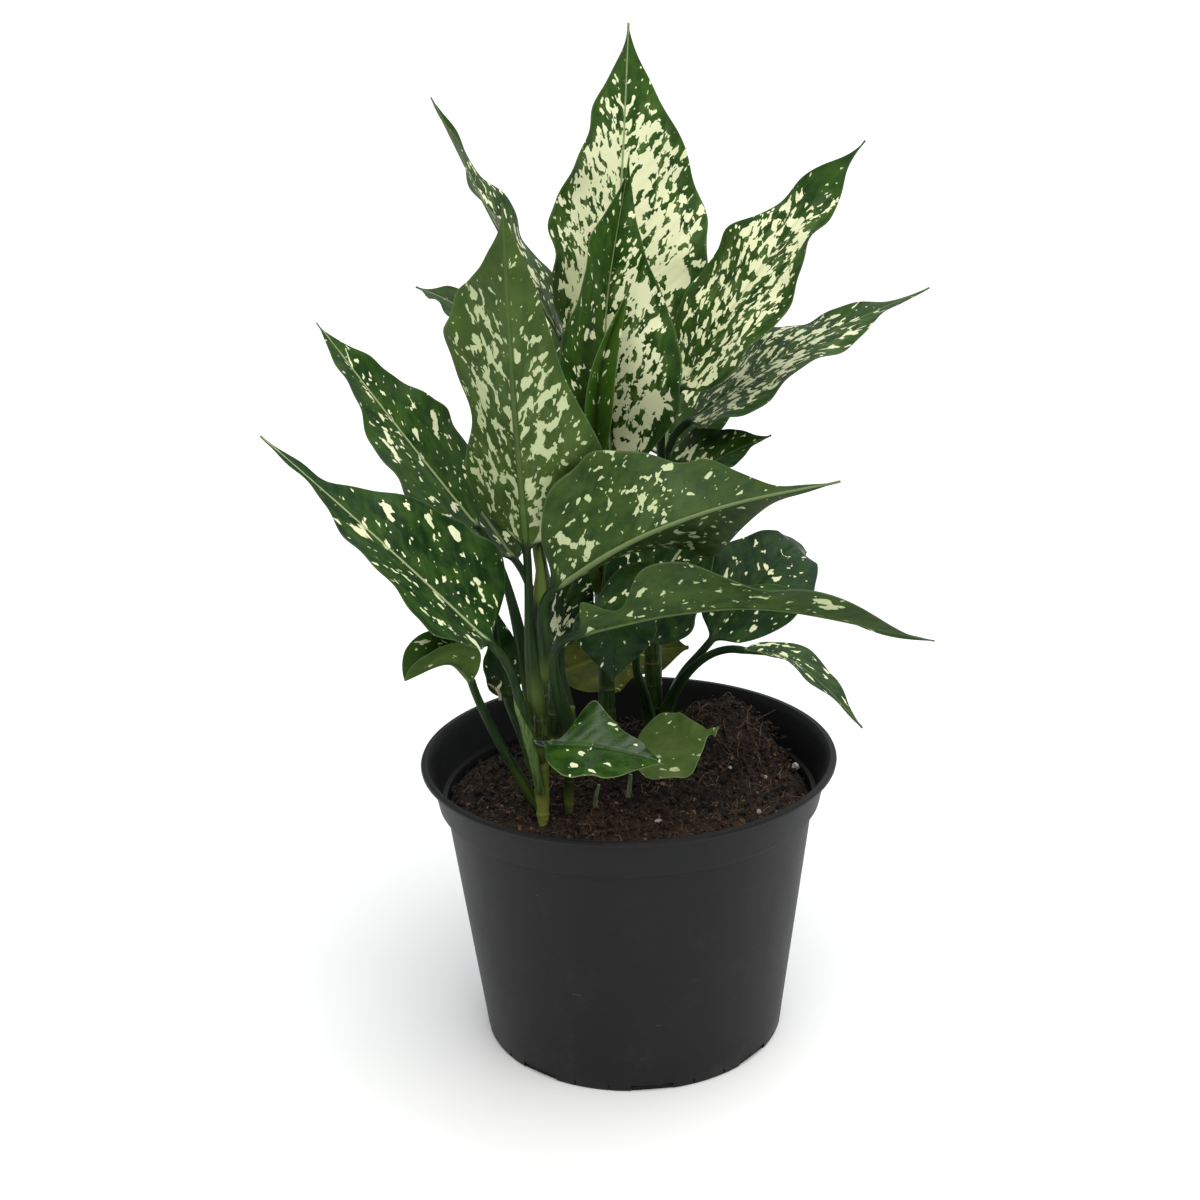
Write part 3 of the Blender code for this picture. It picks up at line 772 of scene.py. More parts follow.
def blade_section(leaf, column, upper, share):
    """A point of the blade: sideways, up, distance from the midrib, and that as a share of the half."""
    hand = 1 if column >= 0 else -1
    steps = abs(column) * COLUMNS / 2
    rib = rib_radius(share)
    size = (leaf.width / LARGE_LEAF) ** 2
    wobble = math.sin(math.tau * EDGE_RIPPLES * share + leaf.start + 2.0 * hand)
    lift, spread = edge_form(leaf, hand, share)
    half = half_width(leaf, share) * (1 + EDGE_RIPPLE * size * wobble) + spread
    half = max(half, rib + LEAST_BLADE)
    if steps <= RIB_COLUMNS:
        out = rib * steps / RIB_COLUMNS
    else:
        out = rib + (half - rib) * (steps - RIB_COLUMNS) / (COLUMNS / 2 - RIB_COLUMNS)
    reach = out / half
    slope = math.radians(leaf.fold * (1 - leaf.flatten * share))
    swing, ripple = blade_swing(leaf, hand, share, lift, size)
    swing = swing * reach**2 + ripple * reach**3
    thickness = BLADE_THICKNESS + (EDGE_THICKNESS - BLADE_THICKNESS) * reach
    ridge = math.sqrt(max(0.0, 1 - (out / rib) ** 2)) * rib
    depth = thickness / 2 - RIDGE_ABOVE * ridge if upper else -thickness / 2 - RIDGE_BELOW * ridge
    sideways = out * math.cos(slope) - (swing + depth) * math.sin(slope)
    height = out * math.sin(slope) + (swing + depth) * math.cos(slope)
    return hand * sideways, height, hand * out, reach


# %% A leaf from a solid grid
STALK_SPAN = 60.0
BIAS_WIDTH = 4.0
LEAF_SHARP = 60.0


def make_leaf(name, leaf, made_material, seed):
    rows = ROOT_ROWS + PETIOLE_ROWS + BLADE_ROWS
    frames = towards_cane(leaf, leaf_frames(leaf))
    blade_line = [centre for centre, *_ in frames[ROOT_ROWS + PETIOLE_ROWS :]]
    length = sum((b - a).length for a, b in zip(blade_line, blade_line[1:]))
    bm = bmesh.new()
    bmesh.ops.create_grid(bm, x_segments=rows, y_segments=COLUMNS, size=1.0)
    bmesh.ops.solidify(bm, geom=bm.faces[:], thickness=0.5)
    blade_layer = bm.verts.layers.float_vector.new("blade")
    place_layer = bm.verts.layers.float_vector.new("place")
    marks_layer = bm.verts.layers.float_vector.new("marks")
    looks_layer = bm.verts.layers.float_vector.new("looks")
    blotch_layer = bm.verts.layers.float.new("blotch")
    heights = [vert.co.z for vert in bm.verts]
    middle = (max(heights) + min(heights)) / 2
    for vert in bm.verts:
        row = round((vert.co.x + 1) / 2 * rows)
        column = vert.co.y
        upper = vert.co.z > middle
        centre, along, up, stalk, share = frames[row]
        x, z = stalk_section(column, upper, stalk)
        if row < ROOT_ROWS:
            narrow = ROOT_WIDTH + (1 - ROOT_WIDTH) * row / ROOT_ROWS
            x *= narrow
            z *= narrow
        across = x
        slide = 0.0
        reach = 0.0
        joined = smooth_step(0.0, JOIN_SHARE, share)
        if joined > 0:
            blade_x, blade_z, across, reach = blade_section(leaf, column, upper, share)
            x += (blade_x - x) * joined
            z += (blade_z - z) * joined
            slide = leaf.skew * blade_x * math.sin(math.pi * share)
            centre = centre + along * slide
        vert.co = centre + along.cross(up) * x + up * z
        vert[blade_layer] = (share * length + slide - (1 - stalk) * STALK_SPAN, across, seed)
        vert[place_layer] = (share, reach, 1 - joined)
        cream = leaf.cream[0] if upper else leaf.cream[1]
        cream *= 1 + leaf.bias * min(1.0, max(-1.0, across / BIAS_WIDTH))
        vert[marks_layer] = (cream, leaf.tone, 1.0 if upper else 0.0)
        vert[looks_layer] = (leaf.rib, leaf.rim, leaf.shine)
        vert[blotch_layer] = leaf.blotch
    bmesh.ops.recalc_face_normals(bm, faces=bm.faces[:])
    if bm.calc_volume(signed=True) < 0:
        bmesh.ops.reverse_faces(bm, faces=bm.faces[:])
    return place_piece("fine_" + name, bm, made_material, replaces=(name,), sharp=LEAF_SHARP)


# %% [markdown]
# ## The pattern of a leaf
# This plant is grown for its cream splashes. They are crisp, longer than wide, and lean from the
# midrib towards the tip, because they follow the side veins. Each has smaller specks beside it, and
# there are few near the edge and the tip. A picture could be painted, but noise in the leaf's own
# coordinates does it without one: one axis runs along a side vein and the other across it, the noise
# is stretched along the vein, and a sharp threshold cuts the splashes out. Two leaves never match,
# because each has a seed of its own.

# %% Helpers for the side veins
VEIN_LEAN = math.radians(27)
VEIN_SPACING = 7.0
VEIN_SLOPE = 0.75
VEIN_CURVE = 0.006


def vein_space(tree, along, across, seed):
    """A place on the blade in other axes: one runs across the side veins and one along them."""
    out = maths(tree, "ABSOLUTE", across)
    lean_cos = math.cos(VEIN_LEAN)
    lean_sin = math.sin(VEIN_LEAN)
    over = minus(tree, times(tree, out, lean_cos), times(tree, along, lean_sin))
    down = plus(tree, times(tree, along, lean_cos), times(tree, out, lean_sin))
    drift = plus(tree, seed, times(tree, across, 0.05))
    return wire(tree, "CombineXYZ", {"X": over, "Y": down, "Z": drift}).outputs[0]


def vein_wave(tree, along, out):
    """0 on each side vein and 0.5 halfway between two. The veins bend towards the tip."""
    curved = plus(tree, times(tree, out, VEIN_SLOPE), times(tree, times(tree, out, out), VEIN_CURVE))
    count = maths(tree, "DIVIDE", minus(tree, along, curved), VEIN_SPACING)
    return maths(tree, "ABSOLUTE", minus(tree, maths(tree, "FRACT", count), 0.5))


# %% [markdown]
# How much of a leaf is cream is one number, its cover. It falls towards the margin and the tip and
# drifts over the blade, and the higher it is, the lower the noise is cut. Three sizes of splash come
# from three noises, because one noise gives splashes that are all alike.

# %% Helpers for the cream splashes
def blade_inside(tree, reach, share):
    """1 in the middle of the blade, less towards the margin and the tip."""
    inner = flipped(tree, times(tree, between(tree, reach, 0.68, 1.0), 0.8))
    from_tip = flipped(tree, between(tree, share, 0.6, 0.95))
    return times(tree, inner, from_tip)


def uneven_cover(tree, blade, cover):
    patch = grain(tree, blade, (1 / 34, 1 / 22, 1.7), detail=1.0)
    most = maths(tree, "MINIMUM", times(tree, cover, 2.2), 0.7)
    return plus(tree, cover, times(tree, minus(tree, patch, 0.5), most))


def cream_splashes(tree, vein_place, cover, blotch):
    """Large, middling and small splashes together."""
    limit = minus(tree, 0.69, times(tree, cover, 0.27))
    lumps = grain(tree, vein_place, (1 / 3.4, 1 / 6.6, 1.0), rough=0.5, distortion=0.3)
    middling = above(tree, lumps, limit, 0.016)
    limit = minus(tree, minus(tree, 0.7, times(tree, cover, 0.14)), times(tree, blotch, 0.06))
    lumps = grain(tree, vein_place, (1 / 9.5, 1 / 14.0, 1.4), detail=3.0, rough=0.45, distortion=0.2)
    large = above(tree, lumps, limit, 0.014)
    limit = minus(tree, 0.785, times(tree, cover, 0.18))
    lumps = grain(tree, vein_place, (1 / 1.9, 1 / 4.2, 1.0), detail=1.0, rough=0.4)
    small = above(tree, lumps, limit, 0.03)
    return maths(tree, "MAXIMUM", maths(tree, "MAXIMUM", middling, large), small)


# %% Node group: leaf pattern
PATTERN_INPUTS = {"Blade": "Vector", "Place": "Vector", "Marks": "Vector", "Blotch": "Float"}
PATTERN_OUTPUTS = ("Cream", "Wash", "Mottle", "Vein", "Midrib", "Margin", "Relief")


def leaf_pattern_group():
    tree = bpy.data.node_groups.new("leaf pattern", "ShaderNodeTree")
    for name, kind in PATTERN_INPUTS.items():
        tree.interface.new_socket(name=name, in_out="INPUT", socket_type="NodeSocket" + kind)
    for name in PATTERN_OUTPUTS:
        tree.interface.new_socket(name=name, in_out="OUTPUT", socket_type="NodeSocketFloat")
    given = tree.nodes.new("NodeGroupInput").outputs
    result = tree.nodes.new("NodeGroupOutput").inputs
    along, across, seed = parted(tree, given["Blade"])
    share, reach, on_stalk = parted(tree, given["Place"])
    cream_share, _, upper = parted(tree, given["Marks"])
    out = maths(tree, "ABSOLUTE", across)
    on_blade = flipped(tree, between(tree, on_stalk, 0.2, 0.8))

    vein_place = vein_space(tree, along, across, seed)
    inside = blade_inside(tree, reach, share)
    cover = uneven_cover(tree, given["Blade"], times(tree, cream_share, inside))
    splashes = cream_splashes(tree, vein_place, cover, times(tree, given["Blotch"], inside))
    keel = times(tree, flipped(tree, between(tree, out, 1.2, 2.0)), flipped(tree, upper))
    cream = times(tree, times(tree, splashes, on_blade), flipped(tree, keel))

    haze = grain(tree, vein_place, (1 / 7, 1 / 16, 2.3))
    wash = times(tree, between(tree, haze, 0.46, 0.62), times(tree, cover, on_blade))
    cloud = grain(tree, given["Blade"], (1 / 13, 1 / 9, 3.1), detail=5.0, rough=0.6)
    mottle = between(tree, cloud, 0.3, 0.7)

    wave = vein_wave(tree, along, out)
    line = flipped(tree, between(tree, wave, 0.0, 0.09))
    fade = flipped(tree, between(tree, reach, 0.7, 0.98))
    vein = times(tree, times(tree, line, fade), on_blade)
    ragged = times(tree, grain(tree, given["Blade"], (1 / 3.0, 1 / 9, 1.0)), 0.55)
    rib_width = plus(tree, times(tree, flipped(tree, share), 0.75), ragged)
    midrib = flipped(tree, above(tree, out, rib_width, 0.25))
    margin = times(tree, between(tree, reach, 0.965, 0.995), on_blade)

    pores = grain(tree, given["Blade"], (0.9, 0.9, 1.0), detail=3.0)
    quilt = times(tree, between(tree, wave, 0.0, 0.42), on_blade)
    relief = plus(tree, times(tree, pores, 0.3), times(tree, quilt, 0.35))
    for name, value in zip(PATTERN_OUTPUTS, (cream, wash, mottle, vein, midrib, margin, relief)):
        tree.links.new(value, result[name])
    return tree


leaf_pattern = leaf_pattern_group()
print("leaf pattern nodes:", len(leaf_pattern.nodes))

# %% [markdown]
# The leaf's own colours are kept together, one set for a healthy leaf and one for a yellowed one.
# The same pattern is laid over the upper side and the duller underside, and the petiole follows.

# %% Colours of a leaf
UPPER_WASH = colour(0.16, 0.26, 0.07)
UNDER_WASH = colour(0.15, 0.21, 0.07)
YOUNG_GREEN = colour(0.16, 0.21, 0.07)


@dataclass
class LeafColours:
    """The colours of the upper side, the underside, the cream, the midrib and the petiole."""

    deep: tuple
    light: tuple
    under_deep: tuple
    under_light: tuple
    cream: tuple
    under_cream: tuple
    rib: tuple
    stalk: tuple
    foot: tuple


GREEN_LEAF = LeafColours(
    deep=colour(0.004, 0.027, 0.003),
    light=colour(0.038, 0.1, 0.006),
    under_deep=colour(0.018, 0.046, 0.006),
    under_light=colour(0.055, 0.1, 0.014),
    cream=colour(0.88, 0.9, 0.57),
    under_cream=colour(0.55, 0.62, 0.34),
    rib=colour(0.36, 0.44, 0.22),
    stalk=colour(0.006, 0.018, 0.005),
    foot=colour(0.09, 0.14, 0.025),
)
YELLOW_LEAF = LeafColours(
    deep=colour(0.025, 0.045, 0.005),
    light=colour(0.12, 0.13, 0.012),
    under_deep=colour(0.04, 0.06, 0.01),
    under_light=colour(0.12, 0.14, 0.02),
    cream=colour(0.4, 0.42, 0.12),
    under_cream=colour(0.3, 0.32, 0.12),
    rib=colour(0.25, 0.27, 0.08),
    stalk=colour(0.05, 0.07, 0.012),
    foot=colour(0.1, 0.12, 0.02),
)


def upper_skin(tree, colours, pattern, shade, midrib, paleness):
    skin = blended(tree, shade, colours.deep, colours.light)
    skin = blended(tree, times(tree, pattern["Wash"], 0.5), skin, UPPER_WASH)
    skin = blended(tree, times(tree, pattern["Vein"], 0.1), skin, colours.light)
    skin = blended(tree, pattern["Cream"], skin, colours.cream)
    return blended(tree, midrib, skin, blended(tree, paleness, colours.light, colours.rib))


def under_skin(tree, colours, pattern, shade, midrib, paleness):
    skin = blended(tree, shade, colours.under_deep, colours.under_light)
    skin = blended(tree, times(tree, pattern["Wash"], 0.35), skin, UNDER_WASH)
    skin = blended(tree, times(tree, pattern["Cream"], 0.9), skin, colours.under_cream)
    return blended(tree, midrib, skin, blended(tree, paleness, colours.under_light, colours.rib))


def petiole_skin(tree, colours, blade, along):
    """Fine streaks along the petiole, and a paler foot."""
    streaks = grain(tree, blade, (0.05, 0.9, 1.0), detail=3.0)
    skin = blended(tree, between(tree, streaks, 0.35, 0.7), colours.stalk, colours.under_deep)
    near_foot = flipped(tree, between(tree, along, -STALK_SPAN, 15 - STALK_SPAN))
    return blended(tree, times(tree, near_foot, 0.7), skin, colours.foot)


# %% Material: leaf
def leaf_material(name, gloss, colours):
    made, tree, shader = new_material(name, 0.4, gloss=gloss)
    blade = attribute(tree, "blade")
    place = attribute(tree, "place")
    marks = attribute(tree, "marks")
    blotch = attribute(tree, "blotch", "Fac")
    along = parted(tree, blade)[0]
    on_stalk = parted(tree, place)[2]
    _, tone, upper = parted(tree, marks)
    rib, rim, shine = parted(tree, attribute(tree, "looks"))
    group = tree.nodes.new("ShaderNodeGroup")
    group.node_tree = leaf_pattern
    for given, value in zip(PATTERN_INPUTS, (blade, place, marks, blotch)):
        tree.links.new(value, group.inputs[given])
    pattern = group.outputs

    lightness = minus(tree, tone, 0.35)
    shade = maths(tree, "ADD", times(tree, pattern["Mottle"], 0.7), lightness, clamp=True)
    midrib = times(tree, pattern["Midrib"], between(tree, rib, 0.0, 0.4))
    top = upper_skin(tree, colours, pattern, shade, midrib, rib)
    under = under_skin(tree, colours, pattern, shade, midrib, rib)
    skin = blended(tree, upper, under, top)
    patchy = plus(tree, 0.45, times(tree, pattern["Mottle"], 0.9))
    young = times(tree, between(tree, tone, 1.0, 2.0), patchy)
    skin = blended(tree, young, skin, YOUNG_GREEN)
    skin = blended(tree, times(tree, pattern["Margin"], rim), skin, colours.rib)
    stem = petiole_skin(tree, colours, blade, along)
    skin = blended(tree, between(tree, on_stalk, 0.1, 0.9), skin, stem)

    dull = plus(tree, 0.52, times(tree, pattern["Mottle"], 0.14))
    rough = minus(tree, minus(tree, dull, times(tree, upper, 0.1)), times(tree, shine, 0.22))
    tree.links.new(rough, shader.inputs["Roughness"])
    coated(tree, shader, skin, pattern["Relief"], 0.0003)
    return made


variegated = leaf_material("variegated leaf", 0.2, GREEN_LEAF)
glossy = leaf_material("glossy leaf", 0.42, GREEN_LEAF)
yellowed = leaf_material("yellowed leaf", 0.2, YELLOW_LEAF)
print("leaf materials:", variegated.name, glossy.name, yellowed.name)

# %% Make the leaves
SEED_STEP = 7.3
for number, (leaf_name, leaf) in enumerate(LEAVES.items()):
    finish = glossy if leaf.shine else variegated
    if leaf_name == "leaf_old":
        finish = yellowed
    made_leaf = make_leaf(leaf_name, leaf, finish, number * SEED_STEP)
print("fine leaves:", len(LEAVES), "faces in the last:", len(made_leaf.data.polygons))

# %% [markdown]
# ## Canes
# The canes are smooth green stems, ringed where older leaves have dropped. A cylinder would do for
# the rod, but the rings swell and pinch it, so its outline is drawn and spun round the axis, and
# then each ring of points is carried sideways to lean the cane.

# %% Make the canes
CANE_STEPS = 36
CANE_FINE = 1.0
CANE_FOOT = 0.75
CANE_FOOT_HEIGHT = 16.0
CANE_UNEVEN = 0.3
BUD_SHARES = (0.05, 0.2, 0.4, 0.6, 0.8, 0.93)


def cane_outline(cane):
    """Radius and height from the buried end to the tip."""
    scars = scar_heights(cane)
    outline = [(0.0, SOIL_LEVEL - CANE_BURIED)]
    count = int((cane.top[2] - 1.0 - SOIL_LEVEL + CANE_BURIED) / CANE_FINE)
    for step in range(count + 1):
        height = SOIL_LEVEL - CANE_BURIED + 0.5 + step * CANE_FINE
        gap = min(scars, key=lambda scar: abs(scar - height)) - height
        swell = SCAR_SWELL * 0.6 * math.exp(-((gap / 0.8) ** 2))
        pinch = 0.15 * math.exp(-(((gap + 2.0) / 1.2) ** 2))
        bared = smooth_step(0.0, CANE_FOOT_HEIGHT, height - soil_height(*cane.foot))
        slim = CANE_FOOT + (1 - CANE_FOOT) * bared
        outline.append((cane_radius(cane, height) * slim + (swell - pinch), height))
    if cane.bud:
        for share in BUD_SHARES:
            radius = cane.top_radius * (1 - share) ** 0.8 * 0.9 + 0.2
            outline.append((radius, cane.top[2] + cane.bud * share))
    outline.append((0.0, cane.top[2] + cane.bud))
    return outline


def spin_outline(outline, steps):
    """A bmesh turned about Z from an outline of (radius, height) that starts and ends on the axis."""
    bm = bmesh.new()
    ring = [bm.verts.new((radius, 0.0, height)) for radius, height in outline]
    edges = [bm.edges.new(pair) for pair in zip(ring, ring[1:])]
    turned = {"axis": (0, 0, 1), "cent": (0, 0, 0), "angle": math.tau, "steps": steps}
    bmesh.ops.spin(bm, geom=ring + edges, use_merge=True, **turned)
    bmesh.ops.remove_doubles(bm, verts=bm.verts[:], dist=0.001)
    bmesh.ops.recalc_face_normals(bm, faces=bm.faces[:])
    return bm


def make_cane(name, cane, made_material):
    bm = spin_outline(cane_outline(cane), CANE_STEPS)
    layer = bm.verts.layers.float_vector.new("cane")
    pale_layer = bm.verts.layers.float.new("pale")
    scars = scar_heights(cane)
    for vert in bm.verts:
        height = vert.co.z
        nearest = min(scars, key=lambda scar: abs(scar - height))
        centre = cane_point(cane, height)
        uneven = noise.noise(Vector((vert.co.x * 0.3, vert.co.y * 0.3, height * 0.08))) * CANE_UNEVEN
        vert.co.x += centre.x + uneven
        vert.co.y += centre.y + uneven
        vert[layer] = (height - nearest, height - soil_height(*cane.foot), height - cane.top[2])
        vert[pale_layer] = cane.pale
    return place_piece("fine_" + name, bm, made_material, replaces=(name,), sharp=LEAF_SHARP)


# %% Material: cane
PALEST = 70.0
cane_green, tree, shader = new_material("green cane", 0.5, gloss=0.25)
from_scar, over_soil, over_top = parted(tree, attribute(tree, "cane"))
pale = attribute(tree, "pale", "Fac")
objects = object_place(tree)
streaks = grain(tree, objects, (900, 900, 90), detail=3.0)
streaked = between(tree, streaks, 0.35, 0.65)
body = blended(tree, streaked, colour(0.012, 0.032, 0.006), colour(0.035, 0.07, 0.012))
near_soil = flipped(tree, between(tree, over_soil, 6.0, pale))
bleached = times(tree, near_soil, maths(tree, "DIVIDE", pale, PALEST))
body = blended(tree, bleached, body, colour(0.34, 0.38, 0.08))
scar = flipped(tree, between(tree, maths(tree, "ABSOLUTE", from_scar), 0.2, 0.8))
scar = times(tree, scar, between(tree, grain(tree, objects, (300, 300, 120)), 0.4, 0.6))
body = blended(tree, times(tree, scar, 0.6), body, colour(0.2, 0.15, 0.06))
body = blended(tree, between(tree, over_top, -6.0, 2.0), body, colour(0.11, 0.17, 0.025))
dirt = flipped(tree, between(tree, over_soil, 0.0, 7.0))
dirt = times(tree, dirt, between(tree, grain(tree, objects, 500, detail=3.0), 0.4, 0.6))
body = blended(tree, dirt, body, colour(0.03, 0.018, 0.01))
coated(tree, shader, body, streaks, 0.0003)

for cane_name, cane in CANES.items():
    made_cane = make_cane(cane_name, cane, cane_green)
print("fine canes:", len(CANES), "faces in the last:", len(made_cane.data.polygons))

# %% [markdown]
# Between the canes stand a young shoot, the stubs of two lost leaves and a withered stipule. Each is
# a short bent tube, made as the canes are: spun straight, then carried along a curve.

# %% Young shoot, stubs and stipule
TUBE_STEPS = 24
TUBE_SIDES = 16
TUBE_SQUASH = 0.7
UPRIGHT_STREAKS = (900, 900, 70)


def bent_tube(points, radii):
    """A closed, slightly flat tube through points, with a radius for each of them."""
    line = [Vector(point) for point in points]
    outline = [(0.0, 0.0)]
    for step in range(TUBE_STEPS + 1):
        place = step / TUBE_STEPS * (len(radii) - 1)
        index = min(int(place), len(radii) - 2)
        radius = radii[index] + (radii[index + 1] - radii[index]) * (place - index)
        outline.append((radius, 0.005 + 0.99 * step / TUBE_STEPS))
    outline.append((0.0, 1.0))
    bm = spin_outline(outline, TUBE_SIDES)
    for vert in bm.verts:
        share = vert.co.z
        along = (spline_point(line, share + 0.02) - spline_point(line, share - 0.02)).normalized()
        across = along.cross(Vector((0, -1, 0.2))).normalized()
        flat = across.cross(along) * vert.co.y * TUBE_SQUASH
        vert.co = spline_point(line, share) + across * vert.co.x + flat
    bmesh.ops.recalc_face_normals(bm, faces=bm.faces[:])
    return bm


def tissue(name, dark, light, roughness):
    """Plant skin with fine upright streaks."""
    return two_tone(name, roughness, (dark, light), UPRIGHT_STREAKS, 0.0002, gloss=0.2, detail=3.0)


young = tissue("young shoot", colour(0.05, 0.1, 0.02), colour(0.13, 0.2, 0.06), 0.5)
grey_green = tissue("leaf stub", colour(0.12, 0.16, 0.08), colour(0.3, 0.34, 0.2), 0.6)
withered = tissue("withered stipule", colour(0.1, 0.06, 0.03), colour(0.4, 0.33, 0.22), 0.8)

# Each small piece: (the points it runs through, its radius at steps along it, material)
SMALL_PIECES = {
    "young_shoot": (
        ((-43, -40, 146), (-48, -44, 178), (-52, -47, 194), (-54, -48, 203)),
        (2.4, 2.6, 1.8, 0.2),
        young,
    ),
    "withered_stipule": (((-61, -38, 195), (-62, -38, 200), (-67, -38, 204)), (0.8, 0.9, 0.2), withered),
    "leaf_stub_left": (((-17, -20, 124), (-17, -21, 133), (-15, -22, 142)), (1.3, 1.2, 0.7), grey_green),
    "leaf_stub_right": (((-1, -9, 124), (0, -10, 133), (1, -10, 142)), (1.4, 1.3, 0.9), grey_green),
}
for piece_name, (points, radii, made_material) in SMALL_PIECES.items():
    place_piece(piece_name, bent_tube(points, radii), made_material, sharp=LEAF_SHARP)
print("small pieces:", len(SMALL_PIECES))

# %% [markdown]
# ## Pot
# A nursery pot is thin moulded plastic: a rolled lip, an upright collar that lets pots stack, a
# tapered body and openings round the foot to drain. It is round, so its whole wall is one outline
# spun about the axis, and the openings are cut out afterwards with a Boolean.

# %% Pot outline
POT_HEIGHT = 150.0
RIM_RADIUS = 105.0
LIP_HEIGHT = 3.6
LIP_WIDTH = 3.7
COLLAR_TOP_RADIUS = 100.4
COLLAR_BASE_RADIUS = 96.8
COLLAR_HEIGHT = 22.0
BODY_TOP_RADIUS = 93.4
BODY_BASE_RADIUS = 77.0
WALL = 1.3
FLOOR = 2.0
FOOT_ROUND = 1.6
SIDE_ROWS = 12
POT_STEPS = 160
POT_SHARP = 30.0
DRAIN_COUNT = 8
DRAIN_WIDTH = 21.0
DRAIN_HEIGHT = 3.6
DRAIN_DEPTH = 6.0
DRAIN_TURN = 6.0
PANEL_WIDTH = 43.0
PANEL_HEIGHT = 3.4
PANEL_DEPTH = 0.7
PANEL_GROOVE = 1.2


def inner_radius(height):
    share = (height - FLOOR) / (POT_HEIGHT - COLLAR_HEIGHT + WALL - FLOOR)
    return BODY_BASE_RADIUS - WALL + (BODY_TOP_RADIUS - BODY_BASE_RADIUS) * share


def pot_outline():
    """Radius and height: under the foot, up the outside, over the lip, and down the inside."""
    collar_base = POT_HEIGHT - COLLAR_HEIGHT
    lip_base = POT_HEIGHT - LIP_HEIGHT
    outline = [
        (0.0, 0.0),
        (BODY_BASE_RADIUS - FOOT_ROUND, 0.0),
        (BODY_BASE_RADIUS - 0.5, 0.4),
        (BODY_BASE_RADIUS + 0.1, FOOT_ROUND),
    ]
    for step in range(1, SIDE_ROWS):
        share = step / SIDE_ROWS
        radius = BODY_BASE_RADIUS + (BODY_TOP_RADIUS - BODY_BASE_RADIUS) * share
        outline.append((radius, FOOT_ROUND + (collar_base - FOOT_ROUND) * share))
    outline += [
        (BODY_TOP_RADIUS, collar_base - 0.4),
        (BODY_TOP_RADIUS + 0.6, collar_base),
        (COLLAR_BASE_RADIUS - 0.7, collar_base),
        (COLLAR_BASE_RADIUS, collar_base + 0.7),
        (COLLAR_TOP_RADIUS - 0.2, lip_base - 0.8),
        (COLLAR_TOP_RADIUS + 0.6, lip_base),
        (RIM_RADIUS - 1.2, lip_base + 0.7),
        (RIM_RADIUS - 0.2, lip_base + 1.4),
        (RIM_RADIUS, POT_HEIGHT - 1.2),
        (RIM_RADIUS - 0.4, POT_HEIGHT - 0.3),
        (RIM_RADIUS - 1.2, POT_HEIGHT),
        (RIM_RADIUS - LIP_WIDTH + 0.6, POT_HEIGHT - 0.1),
        (RIM_RADIUS - LIP_WIDTH, POT_HEIGHT - 0.7),
        (COLLAR_TOP_RADIUS - WALL, lip_base - 0.4),
        (COLLAR_BASE_RADIUS - WALL + 0.1, collar_base + WALL + 1.0),
        (COLLAR_BASE_RADIUS - WALL - 0.5, collar_base + WALL + 0.2),
        (inner_radius(collar_base + WALL) + 0.6, collar_base + WALL),
        (inner_radius(collar_base), collar_base),
        (inner_radius(FLOOR), FLOOR),
        (0.0, FLOOR),
    ]
    return outline


# %% Helpers for the drain openings
def evaluated_mesh(item):
    """The mesh that an object has once its modifiers or its curve are worked out."""
    bpy.context.view_layer.update()
    return bpy.data.meshes.new_from_object(item.evaluated_get(bpy.context.evaluated_depsgraph_get()))


def cut_box(target, size, centre, turn):
    """Cuts a box from target: size and centre in millimetres, turned about the pot's axis."""
    bm = bmesh.new()
    bmesh.ops.create_cube(bm, size=1.0)
    bmesh.ops.scale(bm, vec=[side * MM for side in size], verts=bm.verts[:])
    bmesh.ops.translate(bm, vec=[part * MM for part in centre], verts=bm.verts[:])
    bmesh.ops.rotate(bm, cent=(0, 0, 0), matrix=Matrix.Rotation(turn, 3, "Z"), verts=bm.verts[:])
    cutter = put_in_scene("cutter", finished_mesh("cutter", bm))
    cutting = target.modifiers.new("cut", "BOOLEAN")
    cutting.operation = "DIFFERENCE"
    cutting.object = cutter
    shaped = evaluated_mesh(target)
    target.modifiers.clear()
    target.data = shaped
    bpy.data.objects.remove(cutter, do_unlink=True)


# %% [markdown]
# Black moulded plastic is never a flat black. It has a fine grain, faint rings from the mould, pale
# dust in patches, with more of it near the foot, and a few light scuffs.

# %% Material: pot plastic
pot_black, tree, shader = new_material("black plastic", 0.5, gloss=0.22)
objects = object_place(tree)
_, _, height = parted(tree, objects)
cloud = grain(tree, objects, (22, 22, 14), detail=4.0, rough=0.6)
clouded = between(tree, cloud, 0.3, 0.7)
base = blended(tree, clouded, colour(0.0035, 0.0038, 0.0038), colour(0.006, 0.0065, 0.0063))
low = flipped(tree, between(tree, height, 0.0, 0.035))
dust = between(tree, grain(tree, objects, (60, 60, 40), detail=5.0, rough=0.7), 0.5, 0.75)
dust = times(tree, dust, plus(tree, times(tree, low, 0.12), 0.05))
base = blended(tree, dust, base, colour(0.08, 0.076, 0.068))
scuffs = between(tree, grain(tree, objects, (45, 45, 420), detail=4.0, rough=0.7), 0.70, 0.74)
base = blended(tree, times(tree, scuffs, 0.35), base, colour(0.16, 0.16, 0.16))
tree.links.new(plus(tree, 0.4, times(tree, cloud, 0.22)), shader.inputs["Roughness"])
fine = times(tree, grain(tree, objects, 1500), 0.5)
mould = times(tree, grain(tree, objects, (4, 4, 700)), 0.5)
coated(tree, shader, base, plus(tree, fine, mould), 0.00012)

